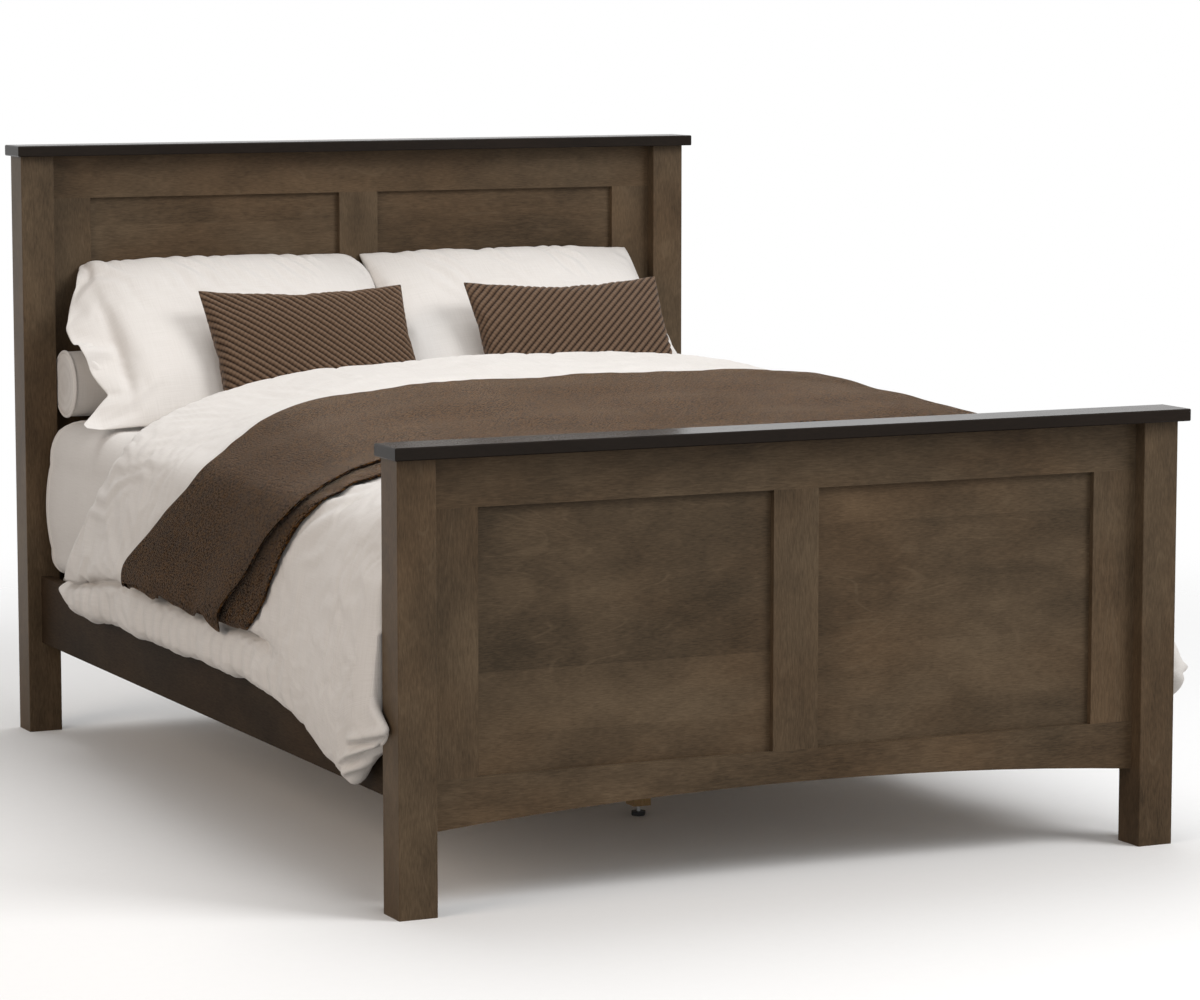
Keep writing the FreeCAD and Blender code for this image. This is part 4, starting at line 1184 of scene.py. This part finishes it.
@dataclass
class StuffedCase:
    """Pillow or cushion: two cloths sewn round their edge and blown up by a cloth run."""
    name: str
    node: str
    slot: str
    width: float
    height: float
    thickness: float
    lean: float
    foot: Vector
    cell: float = 0.0100
    pressure: float = 0.45
    tension: float = 15.0
    bending: float = 0.08
    frames: int = 24
    fill: float = 0.7
    flange_line: tuple[tuple[float, float], ...] = ((0.0, 0.0), (1.0, 0.0))
    flange_side: int = 0
    shoulder: float = 0.0
    ears: tuple[float, float] = (0.0, 0.0)
    rib_pitch: float = 0.0
    rib_lean: float = 0.0
    rib_height: float = 0.0
    levels: int = 1
    seed: int = 1
    case_gap: float = 0.0022
    pucker: float = 0.0
    lean_gap: float = 0.004
    front_stop: float = -FAR
    back_stop: float = FAR
    leans_on_it: "StuffedCase | None" = None

    FLANGE_WAVES = (0.016, 0.008)
    SEED_SHARE = 0.75
    SPARE = 1.06

    def flange_width(self, share: Array) -> Array:
        """Width of the open end's flange at a share of the height."""
        return np.interp(share, *zip(*self.flange_line))

    def flat_grid(self) -> tuple[Array, Array]:
        """Places on the flat cut, row by row from the lower edge, each row as wide as the case is there."""
        extra = max(width for _, width in self.flange_line)
        columns = int(round((self.width + extra) / self.cell)) + 1
        rows = int(round(self.height / self.cell)) + 1
        z = np.linspace(0.0, self.height, rows)
        added = self.flange_width(z / self.height)
        above = np.clip((z / self.height - 0.80) / 0.20, 0.0, 1.0)
        shoulder = self.shoulder * (1.0 - np.sqrt(1.0 - above ** 2))
        left = -self.width / 2.0 - (added if self.flange_side < 0 else -shoulder)
        right = self.width / 2.0 + (added if self.flange_side > 0 else -shoulder)
        across = np.linspace(0.0, 1.0, columns)[None, :]
        return left[:, None] + (right - left)[:, None] * across, np.repeat(z[:, None], columns, axis=1)

    def swell(self, x: Array, z: Array) -> Array:
        """Half thickness of the full form: a crown round in both sections, level with the seam outside it."""
        p = np.clip(2.0 * x / self.width, -1.0, 1.0)
        q = np.clip(2.0 * z / self.height - 1.0, -1.0, 1.0)
        return 0.5 * self.thickness * np.sqrt((1.0 - p * p) * (1.0 - q * q))

    def seed_shape(self, x: Array, z: Array) -> tuple[Array, Array]:
        """Half thickness and middle surface before the run: a lower crown, and a flange that waves."""
        uneven = 1.0 + 0.06 * ripples(x, z, self.seed, 0.2)
        half = np.maximum(self.SEED_SHARE * self.swell(x, z) * uneven, self.case_gap)
        outside = np.clip((np.abs(x) - self.width / 2.0) / 0.08, 0.0, 1.0)
        share = z / self.height
        slow = self.FLANGE_WAVES[0] * np.sin(2.0 * math.pi * (1.6 * share + 0.1))
        quick = self.FLANGE_WAVES[1] * np.sin(2.0 * math.pi * 4.1 * share)
        return half, outside * (slow + quick)

    def inflated(self) -> tuple[Array, Array, Array]:
        """Front and back grids after the cloth run, brought to the cushion's size, with their flat places."""
        x, z = self.flat_grid()
        half, middle = self.seed_shape(x, z)
        front = np.stack([x, middle - half, z], -1)
        back = np.stack([x, middle + half, z], -1)
        flat = np.stack([x, z], -1)
        rows, columns = x.shape
        trial = two_sided(self.name + "_trial", front, back, flat)
        run = ClothRun(self.frames, self.pressure, tension=self.tension, bending=self.bending)
        result = run.apply(trial)
        bpy.data.objects.remove(trial)
        front = result[: rows * columns].reshape(rows, columns, 3)
        back = front.copy()
        back[1:-1, 1:-1] = result[rows * columns:].reshape(rows - 2, columns - 2, 3)
        inner_edge = -1 if self.flange_side < 0 else 0
        reach = abs(float(front[rows // 2, inner_edge, 0]))
        widen = self.width / 2.0 / reach if self.flange_side else 1.0
        middle = (front + back) / 2.0
        grow = np.array([1.0, self.thickness / float(np.max(back[..., 1] - front[..., 1])), 1.0])
        low, high = float(np.min(front[..., 2])), float(np.max(front[..., 2]))
        LOG.info("%s: run gave depth x %.3f, height %.4f", self.name, 1.0 / grow[1], high - low)
        for side in (front, back):
            side[...] = middle + (side - middle) * grow
            side[..., 2] = (side[..., 2] - low) * (self.height / (high - low))
            p, q = 2.0 * side[..., 0] / self.width, 2.0 * side[..., 2] / self.height - 1.0
            side[..., 0] *= widen * (1.0 - self.ears[0] * np.clip(1.0 - q * q, 0.0, 1.0))
            side[..., 2] -= 0.5 * self.height * q * self.ears[1] * np.clip(1.0 - p * p, 0.0, 1.0)
        if self.pucker:
            front[..., 1] += self.pucker * self.seam_puckers(x, z)
        return front, back, flat

    def seam_puckers(self, x: Array, z: Array) -> Array:
        """Small gathers that run down from the upper seam and fade out, from -1 to 1."""
        share = z / self.height
        wave = np.sin(2.0 * math.pi * (x + 0.6 * z) / 0.046 + 2.0 * ripples(x, z, self.seed + 40, 0.14))
        patch = 0.5 + 0.5 * np.tanh(2.0 * ripples(x, 0.3 * z, self.seed + 50, 0.17))
        return wave * patch * smooth(share, 0.50, 0.88) * smooth(1.0 - share, 0.0, 0.05)

    def placed(self, points: Array) -> Array:
        """Points tipped back by the lean about the lower edge and moved to the foot."""
        turn = math.radians(self.lean)
        y = points[..., 1] * math.cos(turn) + points[..., 2] * math.sin(turn)
        z = -points[..., 1] * math.sin(turn) + points[..., 2] * math.cos(turn)
        return np.stack([points[..., 0] + self.foot.x, y + self.foot.y, z + self.foot.z], -1)

    def own(self, points: Array) -> Array:
        """Placed points back in the cushion's upright position."""
        turn = math.radians(self.lean)
        x, y, z = (points[..., i] - self.foot[i] for i in range(3))
        depth = y * math.cos(turn) - z * math.sin(turn)
        height = y * math.sin(turn) + z * math.cos(turn)
        return np.stack([x, depth, height], -1)

    def behind(self, points: Array, gap: float) -> Array:
        """Points pushed back where they would be within a gap of this cushion's back."""
        local = self.own(points)
        x, z = local[..., 0], local[..., 2]
        inside = (np.abs(x) < self.width / 2.0) & (z > 0.0) & (z < self.height)
        limit = np.where(inside, self.SPARE * self.swell(x, z) + gap, -FAR)
        limit = np.where(local[..., 1] > -self.thickness, limit, -FAR)
        local[..., 1] = np.maximum(local[..., 1], limit)
        return self.placed(local)

    def seated(self, points: Array) -> Array:
        """Placed points, pressed flat on the mattress and held off the neighbours."""
        points = self.placed(points)
        if self.leans_on_it is not None:
            points = self.leans_on_it.behind(points, self.lean_gap)
        points[..., 1] = np.clip(points[..., 1], self.front_stop, self.back_stop)
        points[..., 2] = np.maximum(points[..., 2], self.foot.z)
        return points

    def ribbed(self, piece: bpy.types.Object) -> None:
        """Raises slanting ribs along the finished cushion's normals: half-round backs with sharp valleys."""
        mesh = piece.data
        spread = np.zeros(len(mesh.loops) * 2, dtype=np.float32)
        mesh.uv_layers[FLAT_MAP].data.foreach_get("uv", spread)
        flat = np.zeros((len(mesh.vertices), 2))
        flat[corner_vertices(mesh)] = spread.reshape(-1, 2)
        normal = np.zeros(len(mesh.vertices) * 3, dtype=np.float32)
        mesh.vertices.foreach_get("normal", normal)
        x, z = flat[:, 0], flat[:, 1]
        across = -math.sin(self.rib_lean) * x + math.cos(self.rib_lean) * z
        along = math.cos(self.rib_lean) * x + math.sin(self.rib_lean) * z
        back = np.abs(np.sin(math.pi * across / self.rib_pitch)) ** 0.7
        bead = 1.0 + 0.07 * np.sin(2.0 * math.pi * along / (1.9 * self.rib_pitch))
        border = np.minimum(self.width / 2.0 - np.abs(x), np.minimum(z, self.height - z))
        lift = self.rib_height * smooth(border, 0.002, 0.020) * (back * bead - 0.6)
        set_coordinates(mesh, coordinates(mesh) + normal.reshape(-1, 3) * lift[:, None])

    def apply_levels(self, piece: bpy.types.Object) -> None:
        """Turns the subdivision into real faces."""
        subdivided(piece, self.levels)
        shown = piece.evaluated_get(bpy.context.evaluated_depsgraph_get())
        mesh = bpy.data.meshes.new_from_object(shown)
        piece.modifiers.clear()
        old, piece.data = piece.data, mesh
        bpy.data.meshes.remove(old)

    def build(self, material: bpy.types.Material) -> bpy.types.Object:
        """Blows up the case, seats it on the mattress and dresses it."""
        front, back, flat = self.inflated()
        piece = two_sided(self.name, self.seated(front), self.seated(back), flat)
        self.apply_levels(piece)
        if self.rib_height:
            self.ribbed(piece)
        settle(piece, self.node, self.slot, material, self.node)
        return piece


@dataclass
class Bolster:
    """Round bolster along the headboard, its ends boxed with a piped seam."""
    node: str = "bolster"
    piping: float = 0.0035
    around: int = 96
    crown: float = 0.004
    waver: float = 0.006
    skin_gap: float = 0.0005

    CAP_SHARES = (0.0, 0.25, 0.5, 0.75, 0.9)

    def build(self, material: bpy.types.Material) -> bpy.types.Object:
        """A profile of radius over length, turned about the bolster's axis and flattened where it rests."""
        low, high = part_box(self.node)
        centre = (low + high) / 2.0
        radius = (high.z - low.z) / 2.0 - self.piping
        half = (high.x - low.x) / 2.0
        bead = np.linspace(math.pi, -math.pi / 2.0, 12)
        dish = [self.crown * math.cos(s * math.pi / 2.0) for s in self.CAP_SHARES]
        cap = [(half - d + self.crown / 2.0, radius * s) for d, s in zip(dish, self.CAP_SHARES)]
        seam = half - self.piping
        ring = [(seam + self.piping * math.sin(t), radius + self.piping * math.cos(t)) for t in bead]
        body = [(half * s, radius + self.crown * (1.0 - s * s)) for s in np.linspace(0.985, 0.0, 26)]
        right = np.array(cap + ring + body)
        left = right[::-1][1:] * np.array([-1.0, 1.0])
        profile = np.concatenate([right, left])
        turn = np.linspace(0.0, 2.0 * math.pi, self.around, endpoint=False)
        x = np.repeat(profile[:, :1], self.around, axis=1)
        uneven = ripples(x, np.broadcast_to(turn * 0.08, x.shape), 61, 0.16)
        size = profile[:, 1:] * (1.0 + self.waver * uneven)
        y, z = size * np.cos(turn)[None, :], size * np.sin(turn)[None, :]
        z = np.maximum(z, low.z - centre.z + self.skin_gap)
        points = np.stack([x + centre.x, y + centre.y, z + centre.z], -1)
        flat = np.stack([x, np.broadcast_to(turn * radius, x.shape)], -1)
        piece = make_piece("bolster_case", points, grid_faces(len(profile), self.around, wrap=True), flat)
        merge_doubles(piece)
        subdivided(piece)
        settle(piece, MAIN_BODY, "white_linen", material, self.node)
        return piece


@dataclass
class Studio:
    """Pale floor, soft light and the camera."""
    eye: tuple[float, float, float] = (-3.7049, -8.0421, 1.6744)
    yaw: float = 25.342
    pitch: float = 6.888
    lens: float = 126.61
    sensor: float = 36.0
    far: float = 200.0

    FLOOR_HALF = 9.0

    def build(self) -> None:
        """Makes the floor, the lights and the camera, and sets the plain view transform."""
        scene = bpy.context.scene
        scene.view_settings.view_transform = "Standard"
        camera = bpy.data.objects.new("view", bpy.data.cameras.new("view"))
        camera.data.lens, camera.data.sensor_width = self.lens, self.sensor
        camera.data.clip_end = self.far
        camera.location = self.eye
        camera.rotation_euler = Euler((math.radians(90.0 - self.pitch), 0.0, math.radians(-self.yaw)), "XYZ")
        scene.collection.objects.link(camera)
        scene.camera = camera
        self.floor()
        self.sky()
        self.lamp("key", (3.6, -4.6, 5.2), (0.0, 0.0, 0.6), 3.0, 255.0)
        self.lamp("front", (-0.6, -7.0, 3.2), (0.0, 0.0, 0.6), 3.5, 65.0)
        self.lamp("overhead", (0.4, 1.4, 5.0), (0.0, 0.5, 0.5), 4.0, 125.0)
        self.lamp("left_fill", (-6.2, -2.2, 3.2), (-0.8, -0.2, 0.5), 3.0, 108.0, (1.0, 0.85, 0.72))

    def floor(self) -> None:
        """Pale floor that fades out in a round into the white surroundings."""
        corners = ((-1, -1, 0), (1, -1, 0), (1, 1, 0), (-1, 1, 0))
        points = self.FLOOR_HALF * np.array(corners)
        floor = make_piece("studio_floor", points, np.array([[0, 1, 2, 3]]))
        r = Recipe("pale_floor")
        place = r.place()
        speck = r.noise(place, 40.0, 2.0)
        seen = r.add("LightPath", output="Is Camera Ray")
        pale = r.mix(speck, (0.93, 0.93, 0.93), (0.95, 0.95, 0.95))
        colour = r.mix(seen, (0.50, 0.48, 0.46), pale)
        away = r.add("VectorMath", {"operation": "LENGTH"}, {0: place}, output="Value")
        fade = 1.0 - r.step(away, 1.6, 4.2)
        values = {"Base Color": colour, "Roughness": 0.9, "Specular IOR Level": 0.1, "Alpha": fade}
        floor.data.materials.append(r.surface(values))

    @staticmethod
    def sky() -> None:
        """White surroundings: full white to the camera and reflections, a soft level on the object."""
        world = bpy.data.worlds.new("studio")
        bpy.context.scene.world = world
        world.use_nodes = True
        tree = world.node_tree
        tree.nodes.clear()
        path = tree.nodes.new("ShaderNodeLightPath")
        seen = Term(tree, path.outputs["Is Camera Ray"]) + Term(tree, path.outputs["Is Glossy Ray"])
        strength = seen * 0.65 + 0.35
        background = tree.nodes.new("ShaderNodeBackground")
        background.inputs["Color"].default_value = (1.0, 1.0, 1.0, 1.0)
        tree.links.new(strength.socket, background.inputs["Strength"])
        out = tree.nodes.new("ShaderNodeOutputWorld")
        tree.links.new(background.outputs[0], out.inputs["Surface"])

    @staticmethod
    def lamp(
        name: str, place: tuple, target: tuple, size: float, power: float, tint: Colour = (1.0, 1.0, 1.0),
    ) -> None:
        """Large square lamp aimed at a point."""
        data = bpy.data.lights.new(name, "AREA")
        data.size, data.energy, data.color = size, power, tint
        light = bpy.data.objects.new(name, data)
        light.location = place
        light.rotation_euler = (Vector(target) - Vector(place)).to_track_quat("-Z", "Y").to_euler()
        bpy.context.scene.collection.objects.link(light)


def main() -> None:
    """Builds and dresses every sub-assembly in order."""
    logging.basicConfig(level=logging.INFO, format="%(name)s: %(message)s")
    Studio().build()
    Timber().dress()
    Hardware().dress()
    linen = Linen("white_linen").material()
    ticking = Linen("ticking", (0.72, 0.70, 0.66), (0.6, 0.58, 0.55), 0.002).material()
    SoftBlock(
        "mattress_in_sheet", "mattress", "white_linen",
        bulge=0.012, top_edge=0.090, low_edge=0.045, corner=0.040, pucker=0.0024,
    ).build(linen)
    SoftBlock(
        "covered_foundation", "foundation", "ticking",
        bulge=0.004, top_edge=0.018, low_edge=0.012, corner=0.03, pucker=0.0006, seed=9,
    ).build(ticking)
    throw = Throw()
    duvet = Duvet(DuvetForm(), throw=throw)
    duvet.build(linen)
    throw.build(duvet, Tweed("brown_tweed").material())
    Bolster().build(linen)
    open_flap = (
        (0.0, 0.118), (0.04, 0.122), (0.19, 0.056), (0.42, 0.094), (0.62, 0.094), (0.95, 0.022), (1.0, 0.012),
    )
    shut_flap = ((0.0, 0.03), (0.5, 0.03), (1.0, 0.012))
    rows = ((-1, "left", open_flap, 0.055, -41.0, 0.0140), (1, "right", shut_flap, 0.0, 43.0, 0.0130))
    for side, word, flap, shoulder, slant, pitch in rows:
        low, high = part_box(f"lumbar_cushion_{word}")
        lean = math.radians(slant)
        cushion = StuffedCase(
            f"ribbed_cushion_{word}", f"lumbar_cushion_{word}", "brown_cord",
            width=0.500, height=0.350, thickness=0.095, lean=33.0,
            foot=Vector(((low.x + high.x) / 2.0, 0.6128, 0.7200)),
            cell=0.008, pressure=1.6, tension=30.0, bending=0.5, frames=20, fill=0.8, ears=(0.025, 0.05),
            rib_pitch=pitch, rib_lean=lean, rib_height=0.0050, levels=2, seed=15 + side, front_stop=0.6055,
        )
        low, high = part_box(f"pillow_{word}")
        pillow = StuffedCase(
            f"pillow_case_{word}", f"pillow_{word}", "white_linen",
            width=0.660, height=0.530, thickness=0.149, lean=49.5,
            foot=Vector(((low.x + high.x) / 2.0, 0.6924, 0.7205)),
            fill=0.6, flange_line=flap, flange_side=side, shoulder=shoulder, seed=5 + side,
            pucker=0.0065, back_stop=1.0935, leans_on_it=cushion,
        )
        pillow.build(linen)
        cushion.build(Cord(f"brown_cord_{word}", lean, pitch).material())


if __name__ == "__main__":
    main()
